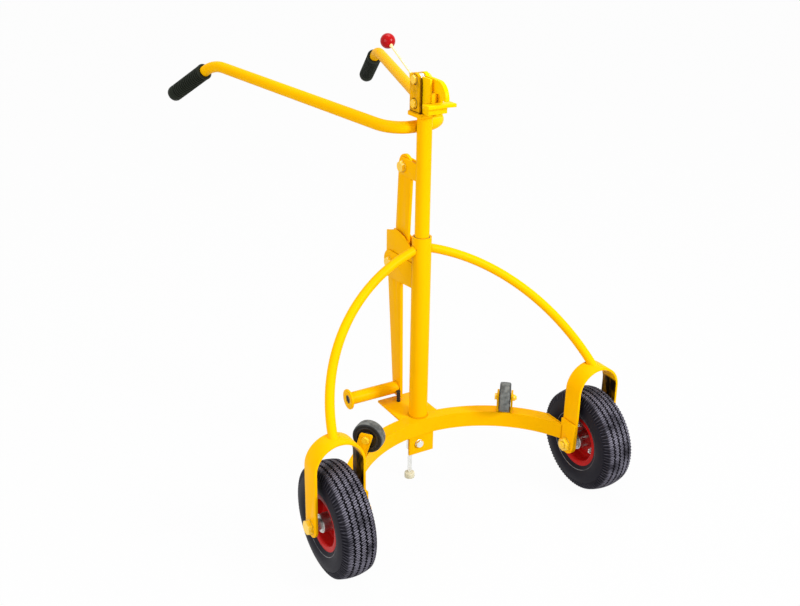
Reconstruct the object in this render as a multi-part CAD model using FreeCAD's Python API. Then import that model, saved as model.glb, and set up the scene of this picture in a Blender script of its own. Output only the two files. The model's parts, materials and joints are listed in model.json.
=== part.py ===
import FreeCAD, Part
import math
import os
from FreeCAD import Vector

# Drum trolley. Millimetres, +Z up. The origin is on the floor under the axis of the drum,
# -Y is the drum's side, +Y the operator's side, and left is -X as seen from the drum.

# Clearances
running_clearance = 0.05
face_clearance = 0.3

# Cradle: a rolled rectangular tube round the back of the drum
cradle_inner_radius = 312.5
cradle_tube_width = 34.0
cradle_tube_height = 40.0
cradle_tube_wall = 3.0
cradle_above_axle = 4.0
cradle_cap_thickness = 6.0
cradle_cap_rise = 18.0

# Wheels
axle_lead = 6.9
tyre_radius = 130.0
tyre_width = 85.0
tyre_wall = 9.0
tyre_crown = 5.0
tyre_bulge_height = 0.45
groove_count = 4
groove_width = 4.0
groove_depth = 4.0
groove_pitch = 14.0
rim_seat_share = 0.4231
rim_flange_share = 1.22
rim_seat_width = 60.0
rim_sheet = 3.0
rim_bolt_count = 4
rim_bolt_radius = 4.0
hub_radius = 21.0
hub_length = 78.0
bearing_radius = 17.5
bearing_width = 12.0
axle_radius = 10.0
axle_hex = 30.0
axle_head_height = 12.0
axle_nut_clearance = 1.5
spacer_radius = 13.0

# Forks: one flat strap bent over each wheel
fork_inset = 55.5
strap_width = 50.0
strap_thickness = 6.0
tyre_side_clearance = 12.5
fork_head_room = 72.5

# Mast: a fixed sleeve with a lifting tube inside it
mast_setback = 32.5
sleeve_radius = 23.0
sleeve_wall = 3.5
sleeve_length = 473.0
mast_radius = 17.5
mast_wall = 3.0
mast_overlap = 227.0
mast_showing = 284.0
bush_length = 45.0
guide_length = 22.0
guide_cap = 4.0

# Stays: a bowed round tube from the sleeve to each fork
stay_radius = 10.7
stay_wall = 2.6
stay_drop = 32.0
stay_foot_back = 10.0
stay_bow_out = 53.0
stay_bow_back = 40.0
stay_bow_up = 27.0
stay_run_in = 22.0

# Handlebar: one bent tube welded behind the lifting tube
bar_radius = 14.0
bar_wall = 2.0
bar_drop = 30.3
bar_saddle_depth = 2.5
bar_corner_x = 66.4
bar_corner_radius = 66.0
bar_half_spread = 243.1
bar_reach = 623.4
bar_rise = 54.7
bar_knee_radius = 130.0
grip_out = 56.4
grip_back = 169.5
grip_drop = 103.1
grip_radius = 21.0
grip_length = 160.0
grip_cap = 5.0

# Foot lever, crank and link that lift the tube
lever_pivot_back = 122.0
lever_pivot_drop = 102.0
crank_forward = 33.0
crank_up = 56.0
link_top_back = 76.0
link_top_drop = 134.0
lever_thickness = 8.0
lever_top_radius = 25.0
lever_shoulder_radius = 30.5
lever_shoulder_drop = 55.0
lever_end_radius = 19.5
lever_foot_drop = 26.0
link_side_clearance = 0.4
link_half_width = 28.5
crank_plate = 4.0
crank_hub_radius = 26.0
crank_pin_radius = 6.0
crank_eye_radius = 15.0
open_pivot_clearance = 10.0
pivot_radius = 8.0
pivot_hex = 24.0
pivot_head_height = 10.0
guard_thickness = 3.0
guard_back = 24.0
guard_corner_rise = 76.0
guard_bottom_drop = 23.0
guard_crown_forward = 53.0
guard_crown_rise = 83.0
guard_peak_forward = 19.0
guard_peak_rise = 89.0
guard_sleeve_rise = 55.0
cheek_thickness = 4.0
cheek_end_radius = 30.0
cheek_foot_drop = 42.0
cheek_sleeve_drop = 31.0
ear_thickness = 5.0
ear_end_radius = 21.0
ear_root_radius = 20.0
ear_root_drop = 2.0
pedal_forward = 20.0
pedal_height = 31.0
pedal_radius = 16.0
pedal_wall = 3.0
pedal_length = 136.0
pedal_flange_radius = 26.0
pedal_flange_thickness = 5.0
pedal_hole_radius = 11.0
stop_radius = 5.0
stop_side_gap = 0.6
stop_rib_count = 5
stop_rib_depth = 1.2

# Gusset behind the cradle
gusset_half_width = 54.0
gusset_reach = 110.0
gusset_thickness = 6.0

# Guide rollers for the drum's wall
roller_angle = 38.3
roller_setback = 0.8
roller_height = 44.7
roller_radius = 37.5
roller_core_radius = 28.0
roller_width = 27.5
roller_side_clearance = 1.0
roller_bolt_radius = 6.0
roller_bolt_hex = 16.0
roller_bolt_head = 6.0
bracket_thickness = 5.0
bracket_half_top = 16.0
bracket_rise = 15.0
bracket_corner = 6.0
bracket_edge_inset = 1.0

# Front plate and parking leg
front_plate_half_width = 35.0
front_plate_thickness = 6.0
front_plate_inset = 12.5
front_plate_drop = 61.0
leg_bolt_drop = 31.0
leg_bolt_side = 8.0
leg_bolt_radius = 6.0
leg_bolt_hex = 18.0
leg_bolt_head = 7.0
leg_strap_thickness = 6.0
leg_strap_margin = 13.0
leg_radius = 5.5
leg_side = 24.0
leg_inset = 2.0
foot_height = 14.0
foot_radius = 13.0
foot_edge = 3.0

# Gripping head on top of the lifting tube
head_base_half_width = 30.0
head_base_forward = 27.0
head_base_back = 34.0
head_base_thickness = 8.0
head_base_corner = 14.0
side_gap = 19.0
side_thickness = 6.0
side_back = 25.0
side_forward = 17.0
side_height = 88.0
low_side_height = 61.0
jaw_gap = 1.5
jaw_forward = 12.0
jaw_depth = 34.0
jaw_height = 81.0
low_jaw_height = 57.0
jaw_corner = 9.0
jaw_plate_thickness = 6.0
block_inset = 13.0
block_height = 46.0
lip_half_width = 36.0
lip_height = 29.0
lip_thickness = 8.0
lip_reach = 24.0
lip_rib_half_width = 24.0
lip_rib_depth = 16.0
beak_pivot_back = 4.0
beak_pivot_height = 73.0
beak_half_thickness = 5.0
beak_boss_radius = 15.0
beak_back_forward = 4.0
beak_back_rise = 8.0
beak_brow_forward = 63.0
beak_brow_rise = 6.0
beak_cheek_forward = 84.0
beak_cheek_drop = 5.0
beak_tip_forward = 94.0
beak_tip_drop = 34.0
tooth_depth = 22.0
mouth_depth = 19.0
mouth_drop = 22.0
mouth_slope = 4.0
tail_reach = 49.0
tail_drop = 4.5
tail_radius = 8.0
head_bolt_radius = 6.0
head_bolt_hex = 18.0
head_bolt_head = 5.5
low_bolt_back = 4.0
low_bolt_height = 20.0
spacer_wall = 3.0
beak_washer = 2.5
beak_spring_wall = 3.5
rod_radius = 2.5
rod_foot_inset = 3.0
ball_radius = 17.5
ball_reach = 164.0
ball_rise = 56.5
ball_bore_depth = 12.0

# Derived places of the wheels, forks and cradle
axle_z = tyre_radius
rim_seat_radius = tyre_radius * rim_seat_share
rim_flange_radius = rim_seat_radius * rim_flange_share
rim_bolt_circle_radius = (hub_radius + rim_seat_radius - rim_sheet) / 2
fork_half_gap = tyre_width / 2 + tyre_side_clearance
fork_half_width = fork_half_gap + strap_thickness
fork_top = 2 * tyre_radius + fork_head_room
arch_z = fork_top - fork_half_width
leg_end_radius = strap_width / 2
cradle_bottom = axle_z + cradle_above_axle
cradle_top = cradle_bottom + cradle_tube_height
cradle_outer_radius = cradle_inner_radius + cradle_tube_width
cradle_end_x = cradle_outer_radius - fork_inset
half_track = cradle_end_x + fork_half_width
axle_y = math.sqrt(cradle_inner_radius**2 - cradle_end_x**2) - axle_lead

# Derived places of the mast, the lever and what they carry
mast_y = cradle_inner_radius + mast_setback
sleeve_top = cradle_top + sleeve_length
sleeve_bore = sleeve_radius - sleeve_wall
mast_bottom = sleeve_top - mast_overlap
mast_top = sleeve_top + mast_showing
bar_y = mast_y + mast_radius + bar_radius - bar_saddle_depth
bar_z = mast_top - bar_drop
lever_half = lever_thickness / 2
link_half = lever_half - link_side_clearance
crank_outer = lever_half + crank_plate
guard_inner = crank_outer + link_side_clearance
guard_outer = guard_inner + guard_thickness
cheek_outer = guard_outer + cheek_thickness
ear_outer = lever_half + ear_thickness
roller_gap = roller_width / 2 + roller_side_clearance
roller_bracket_outer = roller_gap + bracket_thickness
front_plate_y = cradle_inner_radius + front_plate_inset
leg_bolt_z = cradle_bottom - leg_bolt_drop

# Derived places of the head
head_base_top = mast_top + head_base_thickness
side_outer = side_gap + side_thickness
side_rear_y = mast_y + side_back
side_front_y = mast_y - side_forward
jaw_rear_y = mast_y - jaw_forward
jaw_front_y = jaw_rear_y - jaw_depth
lip_top = head_base_top + lip_height

x_axis = Vector(1, 0, 0)
y_axis = Vector(0, 1, 0)
z_axis = Vector(0, 0, 1)
origin = Vector(0, 0, 0)

lever_pivot = Vector(0, mast_y + lever_pivot_back, sleeve_top - lever_pivot_drop)
crank_point = lever_pivot + Vector(0, -crank_forward, crank_up)
link_top = Vector(0, mast_y + link_top_back, mast_top - link_top_drop)
pedal_axis = Vector(0, lever_pivot.y - pedal_forward, cradle_top + pedal_height)
bar_knee = Vector(bar_half_spread, bar_y + bar_reach, bar_z + bar_rise)
bar_end = bar_knee + Vector(grip_out, grip_back, -grip_drop)
beak_pivot = Vector(0, mast_y + beak_pivot_back, head_base_top + beak_pivot_height)
ball_centre = beak_pivot + Vector(0, ball_reach, ball_rise)


def block(x_range, y_range, z_range):
    """A box between two limits on each axis."""
    size = [limits[1] - limits[0] for limits in (x_range, y_range, z_range)]
    corner = Vector(x_range[0], y_range[0], z_range[0])
    return Part.makeBox(size[0], size[1], size[2], corner)


def rod(start, direction, length, radius):
    """A round bar from a start point."""
    return Part.makeCylinder(radius, length, start, direction)


def tube(start, direction, length, outer, inner):
    """A round tube from a start point."""
    return rod(start, direction, length, outer).cut(rod(start, direction, length, inner))


def cross_rod(centre, half_length, radius):
    """A round bar along X, centred on a point."""
    return rod(centre - x_axis * half_length, x_axis, 2 * half_length, radius)


def outline(start, *steps):
    """A closed wire of straight steps, or of arcs where a step gives a middle and an end point."""
    edges = []
    here = start
    for step in steps + (start,):
        if isinstance(step, tuple):
            edges.append(Part.Arc(here, step[0], step[1]).toShape())
            here = step[1]
        elif (step - here).Length > 1e-6:
            edges.append(Part.LineSegment(here, step).toShape())
            here = step
    return Part.Wire(edges)


def slab(wire, near_x, far_x):
    """A plate cut to an outline in the YZ plane, between two places on X."""
    plate = Part.Face(wire).extrude(Vector(far_x - near_x, 0, 0))
    return plate.translated(Vector(near_x, 0, 0))


def belt(first, first_radius, second, second_radius):
    """The outline of a bar with two round ends, in the YZ plane."""
    along = second - first
    reach = along.Length
    along.normalize()
    across = Vector(0, -along.z, along.y)
    lean = (first_radius - second_radius) / reach
    spread = math.sqrt(1 - lean * lean)
    upper = along * lean + across * spread
    lower = along * lean - across * spread
    return outline(
        first + upper * first_radius,
        second + upper * second_radius,
        (second + along * second_radius, second + lower * second_radius),
        first + lower * first_radius,
        (first - along * first_radius, first + upper * first_radius),
    )


def hexagon(across_flats, height):
    """A six-sided prism that stands on the origin."""
    corner_radius = across_flats / math.sqrt(3)
    corners = [
        Vector(corner_radius * math.cos(turn), corner_radius * math.sin(turn), 0)
        for turn in (math.radians(60 * step) for step in range(7))
    ]
    return Part.Face(Part.makePolygon(corners)).extrude(Vector(0, 0, height))


def bolt(centre, direction, half_grip, radius, across_flats, head_height):
    """A hexagon bolt and its nut, clamped over a grip that is centred on a point."""
    head = hexagon(across_flats, head_height).translated(Vector(0, 0, -half_grip - head_height))
    tail = head_height + radius / 2
    shank = rod(Vector(0, 0, -half_grip), z_axis, 2 * half_grip + tail, radius)
    nut = hexagon(across_flats, head_height).translated(Vector(0, 0, half_grip))
    nut = nut.cut(rod(Vector(0, 0, half_grip), z_axis, head_height, radius))
    pair = Part.makeCompound([head.fuse(shank).removeSplitter(), nut])
    pair.Placement = FreeCAD.Placement(centre, FreeCAD.Rotation(z_axis, direction))
    return pair


def bent_path(points, radii):
    """Straight runs joined by tangent arcs at the inner points."""
    edges = []
    here = points[0]
    for index, radius in enumerate(radii, start=1):
        corner = points[index]
        back = points[index - 1] - corner
        ahead = points[index + 1] - corner
        back.normalize()
        ahead.normalize()
        half_angle = back.getAngle(ahead) / 2
        setback = radius / math.tan(half_angle)
        inward = back + ahead
        inward.normalize()
        middle = corner + inward * (radius / math.sin(half_angle) - radius)
        leave = corner + ahead * setback
        edges.append(Part.LineSegment(here, corner + back * setback).toShape())
        edges.append(Part.Arc(corner + back * setback, middle, leave).toShape())
        here = leave
    edges.append(Part.LineSegment(here, points[-1]).toShape())
    return Part.Wire(edges)


def swept(path, radius):
    """A round bar along a path."""
    first = path.OrderedEdges[0]
    start = first.valueAt(first.FirstParameter)
    heading = first.tangentAt(first.FirstParameter)
    section = Part.Wire([Part.Circle(start, heading, radius).toShape()])
    return path.makePipeShell([section], True, False)


def swept_tube(path, outer, inner):
    """A round tube along a path."""
    return swept(path, outer).cut(swept(path, inner))


def long_arc(first, middle, last, extra):
    """An arc through three points, run on past both ends by a length."""
    circle = Part.Circle(first, middle, last)
    step = extra / circle.Radius
    start = circle.parameter(first) - step
    finish = circle.parameter(last) + step
    if finish < start:
        finish += 2 * math.pi
    return Part.Wire([circle.toShape(start, finish)])


def turned(profile, centre):
    """A ring turned about an X axis from a closed list of (x, radius) points."""
    points = [Vector(x, 0, radius) for x, radius in profile]
    ring = Part.Face(Part.makePolygon(points + points[:1])).revolve(origin, x_axis, 360)
    return ring.translated(centre)


def mirrored(shape):
    """The same piece on the other side of the trolley."""
    return shape.mirror(origin, x_axis)


nodes = {}


def add(name, *shapes):
    """Keep one named piece, or a group of like pieces."""
    nodes[name] = shapes[0] if len(shapes) == 1 else Part.makeCompound(list(shapes))


def add_pair(name, right_shape):
    """Keep a right-hand piece and its mirror image."""
    nodes["right_" + name] = right_shape
    nodes["left_" + name] = mirrored(right_shape)


# Cradle
def cradle_ring(inner, outer, bottom, height):
    """A ring about the drum's axis."""
    return tube(Vector(0, 0, bottom), z_axis, height, outer, inner)


def behind_drum(shape, half_width):
    """The part of a ring behind the drum, cut off square at both sides."""
    reach = 2 * cradle_outer_radius
    keep = block((-half_width, half_width), (0, reach), (0, fork_top))
    return shape.common(keep)


full_ring = cradle_ring(cradle_inner_radius, cradle_outer_radius, cradle_bottom, cradle_tube_height)
hollow = cradle_ring(
    cradle_inner_radius + cradle_tube_wall,
    cradle_outer_radius - cradle_tube_wall,
    cradle_bottom + cradle_tube_wall,
    cradle_tube_height - 2 * cradle_tube_wall,
)
cradle_open_x = cradle_end_x - cradle_cap_thickness
axle_line = Vector(0, axle_y, axle_z)
nut_room = cross_rod(axle_line, half_track, axle_hex / math.sqrt(3) + axle_nut_clearance)
add("cradle_arc", behind_drum(full_ring.cut(hollow), cradle_open_x).cut(nut_room))
end_space = block((cradle_open_x, cradle_end_x), (0, 2 * cradle_outer_radius), (0, fork_top))
tube_end = behind_drum(full_ring, cradle_end_x).common(end_space)
cap_foot = Vector(cradle_open_x, axle_y, axle_z)
lug = rod(cap_foot, x_axis, cradle_cap_thickness, leg_end_radius).fuse(
    block(
        (cradle_open_x, cradle_end_x),
        (axle_y - leg_end_radius, axle_y + leg_end_radius),
        (axle_z, cradle_top + cradle_cap_rise),
    )
)
cap = tube_end.fuse(lug).removeSplitter().cut(cross_rod(axle_line, half_track, axle_radius))
add("cradle_end_caps", cap, mirrored(cap))

# Mast sleeve with its gusset
sleeve_foot = Vector(0, mast_y, cradle_top)
sleeve_solid = rod(sleeve_foot, z_axis, sleeve_length, sleeve_radius)
mast_foot = Vector(0, mast_y, mast_bottom)
mast_solid = rod(mast_foot, z_axis, mast_top - mast_bottom, mast_radius)
add("outer_sleeve", tube(sleeve_foot, z_axis, sleeve_length, sleeve_radius, sleeve_bore))
add(
    "upper_guide_bush",
    tube(
        Vector(0, mast_y, sleeve_top - bush_length),
        z_axis,
        bush_length,
        sleeve_bore,
        mast_radius + running_clearance,
    ),
)
gusset = block(
    (-gusset_half_width, gusset_half_width),
    (0, mast_y + gusset_reach),
    (cradle_top - gusset_thickness, cradle_top),
)
add("gusset_plate", gusset.cut(rod(origin, z_axis, fork_top, cradle_outer_radius)))

# Forks
wheel_centre = Vector(half_track, axle_y, axle_z)


def arch(half_width):
    """A round-topped block over a wheel, as deep as the strap."""
    base_z = axle_z - leg_end_radius
    left = Vector(half_track - half_width, axle_y - leg_end_radius, base_z)
    right = Vector(half_track + half_width, axle_y - leg_end_radius, base_z)
    left_spring = Vector(left.x, left.y, arch_z)
    right_spring = Vector(right.x, right.y, arch_z)
    crown = Vector(half_track, left.y, arch_z + half_width)
    wire = outline(left, left_spring, (crown, right_spring), right)
    return Part.Face(wire).extrude(Vector(0, strap_width, 0))


strap_side = rod(wheel_centre - x_axis * fork_half_width, x_axis, 2 * fork_half_width, leg_end_radius).fuse(
    block(
        (half_track - fork_half_width, half_track + fork_half_width),
        (axle_y - leg_end_radius, axle_y + leg_end_radius),
        (axle_z, fork_top),
    )
)
fork = arch(fork_half_width).cut(arch(fork_half_gap)).common(strap_side)
fork = fork.cut(cross_rod(wheel_centre, fork_half_width, axle_radius))
add_pair("fork", fork)

# Stays
stay_start = Vector(sleeve_radius, mast_y, sleeve_top - stay_drop)
stay_end = Vector(half_track, axle_y + stay_foot_back, fork_top)
stay_bow = Vector(stay_bow_out, stay_bow_back, stay_bow_up)
stay_middle = (stay_start + stay_end) * 0.5 + stay_bow
stay_path = long_arc(stay_start, stay_middle, stay_end, stay_run_in)
fork_over = Vector(half_track, 0, arch_z)
stay = swept_tube(stay_path, stay_radius, stay_radius - stay_wall)
stay = stay.cut(sleeve_solid).cut(rod(fork_over, y_axis, 2 * cradle_outer_radius, fork_half_width))
stay = max(stay.Solids, key=lambda piece: piece.Volume)
add_pair("stay", stay)

# Wheels
tread_edge = tyre_width / 2 - tyre_crown * 2
tyre_half = tyre_width / 2
bead_half = rim_seat_width / 2


def tyre_section(inset):
    """A closed wheel section, drawn in by a wall thickness."""
    shoulder = tread_edge - inset / 2
    crown = tyre_radius - tyre_crown - inset
    bulge = tyre_half - inset
    bead = bead_half - inset
    side_z = rim_seat_radius + (tyre_radius - rim_seat_radius) * tyre_bulge_height
    left_side = (Vector(-bulge, 0, side_z), Vector(-shoulder, 0, crown))
    tread = (Vector(0, 0, crown + tyre_crown), Vector(shoulder, 0, crown))
    right_side = (Vector(bulge, 0, side_z), Vector(bead, 0, rim_seat_radius))
    wire = outline(Vector(-bead, 0, rim_seat_radius), left_side, tread, right_side)
    return Part.Face(wire).revolve(origin, x_axis, 360)


tyre = tyre_section(0).cut(tyre_section(tyre_wall))
flange_room = rim_flange_radius + face_clearance
tyre = tyre.cut(cross_rod(origin, tyre_half, rim_seat_radius + running_clearance))
for side in (x_axis, -x_axis):
    tyre = tyre.cut(rod(side * bead_half, side, tyre_half, flange_room))
for step in range(groove_count):
    groove_x = (step - (groove_count - 1) / 2) * groove_pitch
    groove = tube(
        Vector(groove_x - groove_width / 2, 0, 0),
        x_axis,
        groove_width,
        tyre_radius + groove_depth,
        tyre_radius - groove_depth - tyre_crown * (2 * groove_x / tyre_width) ** 2,
    )
    tyre = tyre.cut(groove)
add_pair("tyre", tyre.translated(wheel_centre))

rim_inner_radius = rim_seat_radius - rim_sheet
rim_edge = bead_half + rim_sheet
rim_profile = [
    (0, hub_radius),
    (rim_sheet, hub_radius),
    (rim_sheet, rim_inner_radius),
    (rim_edge, rim_inner_radius),
    (rim_edge, rim_flange_radius),
    (bead_half, rim_flange_radius),
    (bead_half, rim_seat_radius),
    (0, rim_seat_radius),
]
outer_rim = turned(rim_profile, wheel_centre)
inner_rim = turned([(-x, radius) for x, radius in rim_profile], wheel_centre)
rim_bolts = []
for step in range(rim_bolt_count):
    turn = 2 * math.pi * (step + 0.5) / rim_bolt_count
    spot = Vector(0, math.cos(turn), math.sin(turn)) * rim_bolt_circle_radius + wheel_centre
    hole = cross_rod(spot, rim_sheet, rim_bolt_radius)
    outer_rim = outer_rim.cut(hole)
    inner_rim = inner_rim.cut(hole)
    rim_bolts.append(bolt(spot, x_axis, rim_sheet, rim_bolt_radius, 3 * rim_bolt_radius, rim_bolt_radius))
add_pair("rim", Part.makeCompound([outer_rim, inner_rim]))
add_pair("rim_bolts", Part.makeCompound(rim_bolts))

hub_half = hub_length / 2
hub = tube(wheel_centre - x_axis * hub_half, x_axis, hub_length, hub_radius, bearing_radius)
add_pair("hub", hub)
bearing = tube(
    wheel_centre + x_axis * (hub_half - bearing_width),
    x_axis,
    bearing_width,
    bearing_radius,
    axle_radius + running_clearance,
)
inner_bearing = bearing.translated(x_axis * (bearing_width - hub_length))
add_pair("bearings", Part.makeCompound([bearing, inner_bearing]))

half_cap = cradle_cap_thickness / 2
axle_middle = wheel_centre - x_axis * half_cap
axle = bolt(axle_middle, -x_axis, fork_half_width + half_cap, axle_radius, axle_hex, axle_head_height)
add_pair("axle", axle)
spacer_start = hub_half + face_clearance
spacer = tube(
    wheel_centre + x_axis * spacer_start,
    x_axis,
    fork_half_gap - spacer_start,
    spacer_radius,
    axle_radius,
)
inner_spacer = spacer.translated(x_axis * -(fork_half_gap + spacer_start))
add("axle_spacers", spacer, inner_spacer, mirrored(spacer), mirrored(inner_spacer))

# Guide rollers, built straight behind the drum and then swung round its axis
roller_centre = Vector(0, cradle_inner_radius + roller_setback, cradle_top + roller_height)
bracket_sag = bracket_corner * (1 - math.sqrt(0.5))
bracket_top = roller_centre + z_axis * bracket_rise


def bracket_corner_points(side):
    """Both ends and the middle of one rounded top corner of a roller bracket."""
    edge = bracket_top + y_axis * (side * bracket_half_top)
    lower = edge - z_axis * bracket_corner
    middle = edge - Vector(0, side * bracket_sag, bracket_sag)
    upper = edge - y_axis * (side * bracket_corner)
    return lower, middle, upper


front_lower, front_middle, front_upper = bracket_corner_points(-1)
rear_lower, rear_middle, rear_upper = bracket_corner_points(1)
bracket_wire = outline(
    Vector(0, cradle_inner_radius + bracket_edge_inset, cradle_top),
    front_lower,
    (front_middle, front_upper),
    rear_upper,
    (rear_middle, rear_lower),
    Vector(0, cradle_outer_radius - bracket_edge_inset, cradle_top),
)
bracket = slab(bracket_wire, roller_gap, roller_bracket_outer)
bracket = bracket.cut(cross_rod(roller_centre, roller_bracket_outer, roller_bolt_radius))
roller_pieces = {
    "roller_bracket": Part.makeCompound([bracket, mirrored(bracket)]),
    "roller_tread": tube(
        roller_centre - x_axis * (roller_width / 2), x_axis, roller_width, roller_radius, roller_core_radius
    ),
    "roller_core": tube(
        roller_centre - x_axis * roller_gap,
        x_axis,
        2 * roller_gap - face_clearance,
        roller_core_radius,
        roller_bolt_radius + running_clearance,
    ).translated(x_axis * (face_clearance / 2)),
}
for piece, shape in roller_pieces.items():
    right_shape = shape.copy()
    right_shape.rotate(origin, z_axis, -roller_angle)
    add_pair(piece, right_shape)
roller_bolt = bolt(
    roller_centre, x_axis, roller_bracket_outer, roller_bolt_radius, roller_bolt_hex, roller_bolt_head
)
roller_bolt.rotate(origin, z_axis, -roller_angle)
add("roller_bolts", roller_bolt, mirrored(roller_bolt))

# Front plate and parking leg
plate_rear_y = front_plate_y + front_plate_thickness
strap_rear_y = plate_rear_y + leg_strap_thickness
leg_bolt_half_grip = (front_plate_thickness + leg_strap_thickness) / 2
leg_bolt_start = Vector(-leg_bolt_side, front_plate_y, leg_bolt_z)
leg_bolt_centre = leg_bolt_start + y_axis * leg_bolt_half_grip
leg_hole = rod(leg_bolt_start, y_axis, 2 * leg_bolt_half_grip, leg_bolt_radius)
front_plate = block(
    (-front_plate_half_width, front_plate_half_width),
    (front_plate_y, plate_rear_y),
    (cradle_bottom - front_plate_drop, cradle_bottom),
)
add("front_plate", front_plate.cut(leg_hole))
add(
    "leg_bolt",
    bolt(leg_bolt_centre, y_axis, leg_bolt_half_grip, leg_bolt_radius, leg_bolt_hex, leg_bolt_head),
)
leg_strap = block(
    (-leg_side - leg_strap_margin, leg_strap_margin - leg_bolt_side),
    (plate_rear_y, strap_rear_y),
    (leg_bolt_z - leg_strap_margin, leg_bolt_z + leg_strap_margin),
)
leg_foot = Vector(-leg_side, strap_rear_y + leg_radius - leg_inset, 0)
leg_top_z = leg_bolt_z + leg_strap_margin
leg_bar = rod(leg_foot + z_axis * foot_height, z_axis, leg_top_z - foot_height, leg_radius)
add("parking_leg", leg_strap.fuse(leg_bar).removeSplitter().cut(leg_hole))
foot = rod(leg_foot, z_axis, foot_height, foot_radius)
foot_rims = [edge for edge in foot.Edges if edge.Closed and edge.CenterOfMass.z > foot_height / 2]
add("leg_foot", foot.makeFillet(foot_edge, foot_rims))

# Lifting tube
add("inner_mast", tube(mast_foot, z_axis, mast_top - mast_bottom, mast_radius, mast_radius - mast_wall))
guide_radius = sleeve_bore - running_clearance
guide = rod(mast_foot - z_axis * guide_cap, z_axis, guide_length + guide_cap, guide_radius)
add("mast_guide", guide.cut(mast_solid))

# Handlebar and grips
bar_points = [
    Vector(-bar_end.x, bar_end.y, bar_end.z),
    Vector(-bar_knee.x, bar_knee.y, bar_knee.z),
    Vector(-bar_corner_x, bar_y, bar_z),
    Vector(bar_corner_x, bar_y, bar_z),
    bar_knee,
    bar_end,
]
half_bar = [Vector(0, bar_y, bar_z)] + bar_points[3:]
half_path = bent_path(half_bar, [bar_corner_radius, bar_knee_radius])
half_tube = swept_tube(half_path, bar_radius, bar_radius - bar_wall)
handlebar = half_tube.fuse(mirrored(half_tube)).removeSplitter()
add("handlebar", handlebar.cut(mast_solid))
grip_way = bar_end - bar_knee
grip_way.normalize()
grip = rod(bar_end - grip_way * grip_length, grip_way, grip_length + grip_cap, grip_radius)
add_pair("grip", grip.cut(rod(bar_end - grip_way * grip_length, grip_way, grip_length, bar_radius)))

# Foot lever with its crank
pivot_hole = cross_rod(lever_pivot, cheek_outer, pivot_radius + running_clearance)
pivot_seat = cross_rod(lever_pivot, cheek_outer, pivot_radius)
lever_way = pedal_axis - lever_pivot
lever_way.normalize()
lever_shoulder = lever_pivot + lever_way * lever_shoulder_drop
lever_top_wire = belt(lever_pivot, lever_top_radius, lever_shoulder, lever_shoulder_radius)
lever_wire = belt(lever_shoulder, lever_shoulder_radius, pedal_axis, lever_end_radius)
lever_foot = block(
    (-lever_half, lever_half),
    (pedal_axis.y - lever_end_radius, pedal_axis.y + lever_end_radius),
    (pedal_axis.z - lever_foot_drop, pedal_axis.z),
)
lever_top = slab(lever_top_wire, -lever_half, lever_half)
lever = slab(lever_wire, -lever_half, lever_half).fuse([lever_top, lever_foot]).removeSplitter()
add("pedal_lever", lever.cut(pivot_hole))
crank_wire = belt(lever_pivot, crank_hub_radius, crank_point, crank_eye_radius)
crank_side = slab(crank_wire, lever_half, crank_outer).cut(pivot_hole)
crank_side = crank_side.cut(cross_rod(crank_point, crank_outer, crank_pin_radius))
crank_pin = cross_rod(crank_point, crank_outer, crank_pin_radius)
add("crank", crank_side, mirrored(crank_side), crank_pin)
pedal_start = pedal_axis - x_axis * lever_half
pedal_end = pedal_axis - x_axis * (lever_half + pedal_length)
add("pedal_tube", tube(pedal_start, -x_axis, pedal_length, pedal_radius, pedal_radius - pedal_wall))
add(
    "pedal_flange",
    tube(pedal_end, -x_axis, pedal_flange_thickness, pedal_flange_radius, pedal_hole_radius),
)

# Guards, cheeks and pivot of the foot lever
guard_bottom_z = lever_pivot.z - guard_bottom_drop
guard_sleeve_z = lever_pivot.z + guard_sleeve_rise
guard_crown = lever_pivot + Vector(0, -guard_crown_forward, guard_crown_rise)
guard_peak = lever_pivot + Vector(0, -guard_peak_forward, guard_peak_rise)
guard_rear_y = lever_pivot.y + guard_back
guard_wire = outline(
    Vector(0, mast_y, guard_bottom_z),
    Vector(0, mast_y, guard_sleeve_z),
    Vector(0, mast_y + sleeve_radius, guard_sleeve_z),
    (guard_crown, guard_peak),
    Vector(0, guard_rear_y, lever_pivot.z + guard_corner_rise),
    Vector(0, guard_rear_y, guard_bottom_z),
)
guard = slab(guard_wire, guard_inner, guard_outer).cut(sleeve_solid).cut(pivot_seat)
add("crank_guards", guard, mirrored(guard))
cheek_top = lever_pivot + z_axis * cheek_end_radius
cheek_rear = lever_pivot + y_axis * cheek_end_radius
cheek_middle = lever_pivot + Vector(0, 1, 1) * (cheek_end_radius / math.sqrt(2))
cheek_wire = outline(
    Vector(0, mast_y, lever_pivot.z - cheek_sleeve_drop),
    Vector(0, mast_y, cheek_top.z),
    cheek_top,
    (cheek_middle, cheek_rear),
    lever_pivot + Vector(0, cheek_end_radius / 2, -cheek_foot_drop),
)
cheek = slab(cheek_wire, guard_outer, cheek_outer).cut(sleeve_solid).cut(pivot_seat)
add("pivot_cheeks", cheek, mirrored(cheek))
add("lever_pivot_bolt", bolt(lever_pivot, x_axis, cheek_outer, pivot_radius, pivot_hex, pivot_head_height))

# Link from the crank up to the lifting tube
link_wire = belt(link_top, link_half_width, crank_point, link_half_width)
link = slab(link_wire, -link_half, link_half)
link = link.cut(cross_rod(link_top, link_half, pivot_radius + running_clearance))
link = link.cut(cross_rod(crank_point, link_half, crank_pin_radius + open_pivot_clearance))
add("lift_link", link)
ear_root = Vector(0, mast_y, link_top.z - ear_root_drop)
ear = slab(belt(ear_root, ear_root_radius, link_top, ear_end_radius), lever_half, ear_outer)
ear = ear.cut(mast_solid).cut(cross_rod(link_top, ear_outer, pivot_radius))
ear = max(ear.Solids, key=lambda piece: piece.CenterOfMass.y)
add("link_ears", ear, mirrored(ear))
add("link_bolt", bolt(link_top, x_axis, ear_outer, pivot_radius, pivot_hex, pivot_head_height))

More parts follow.
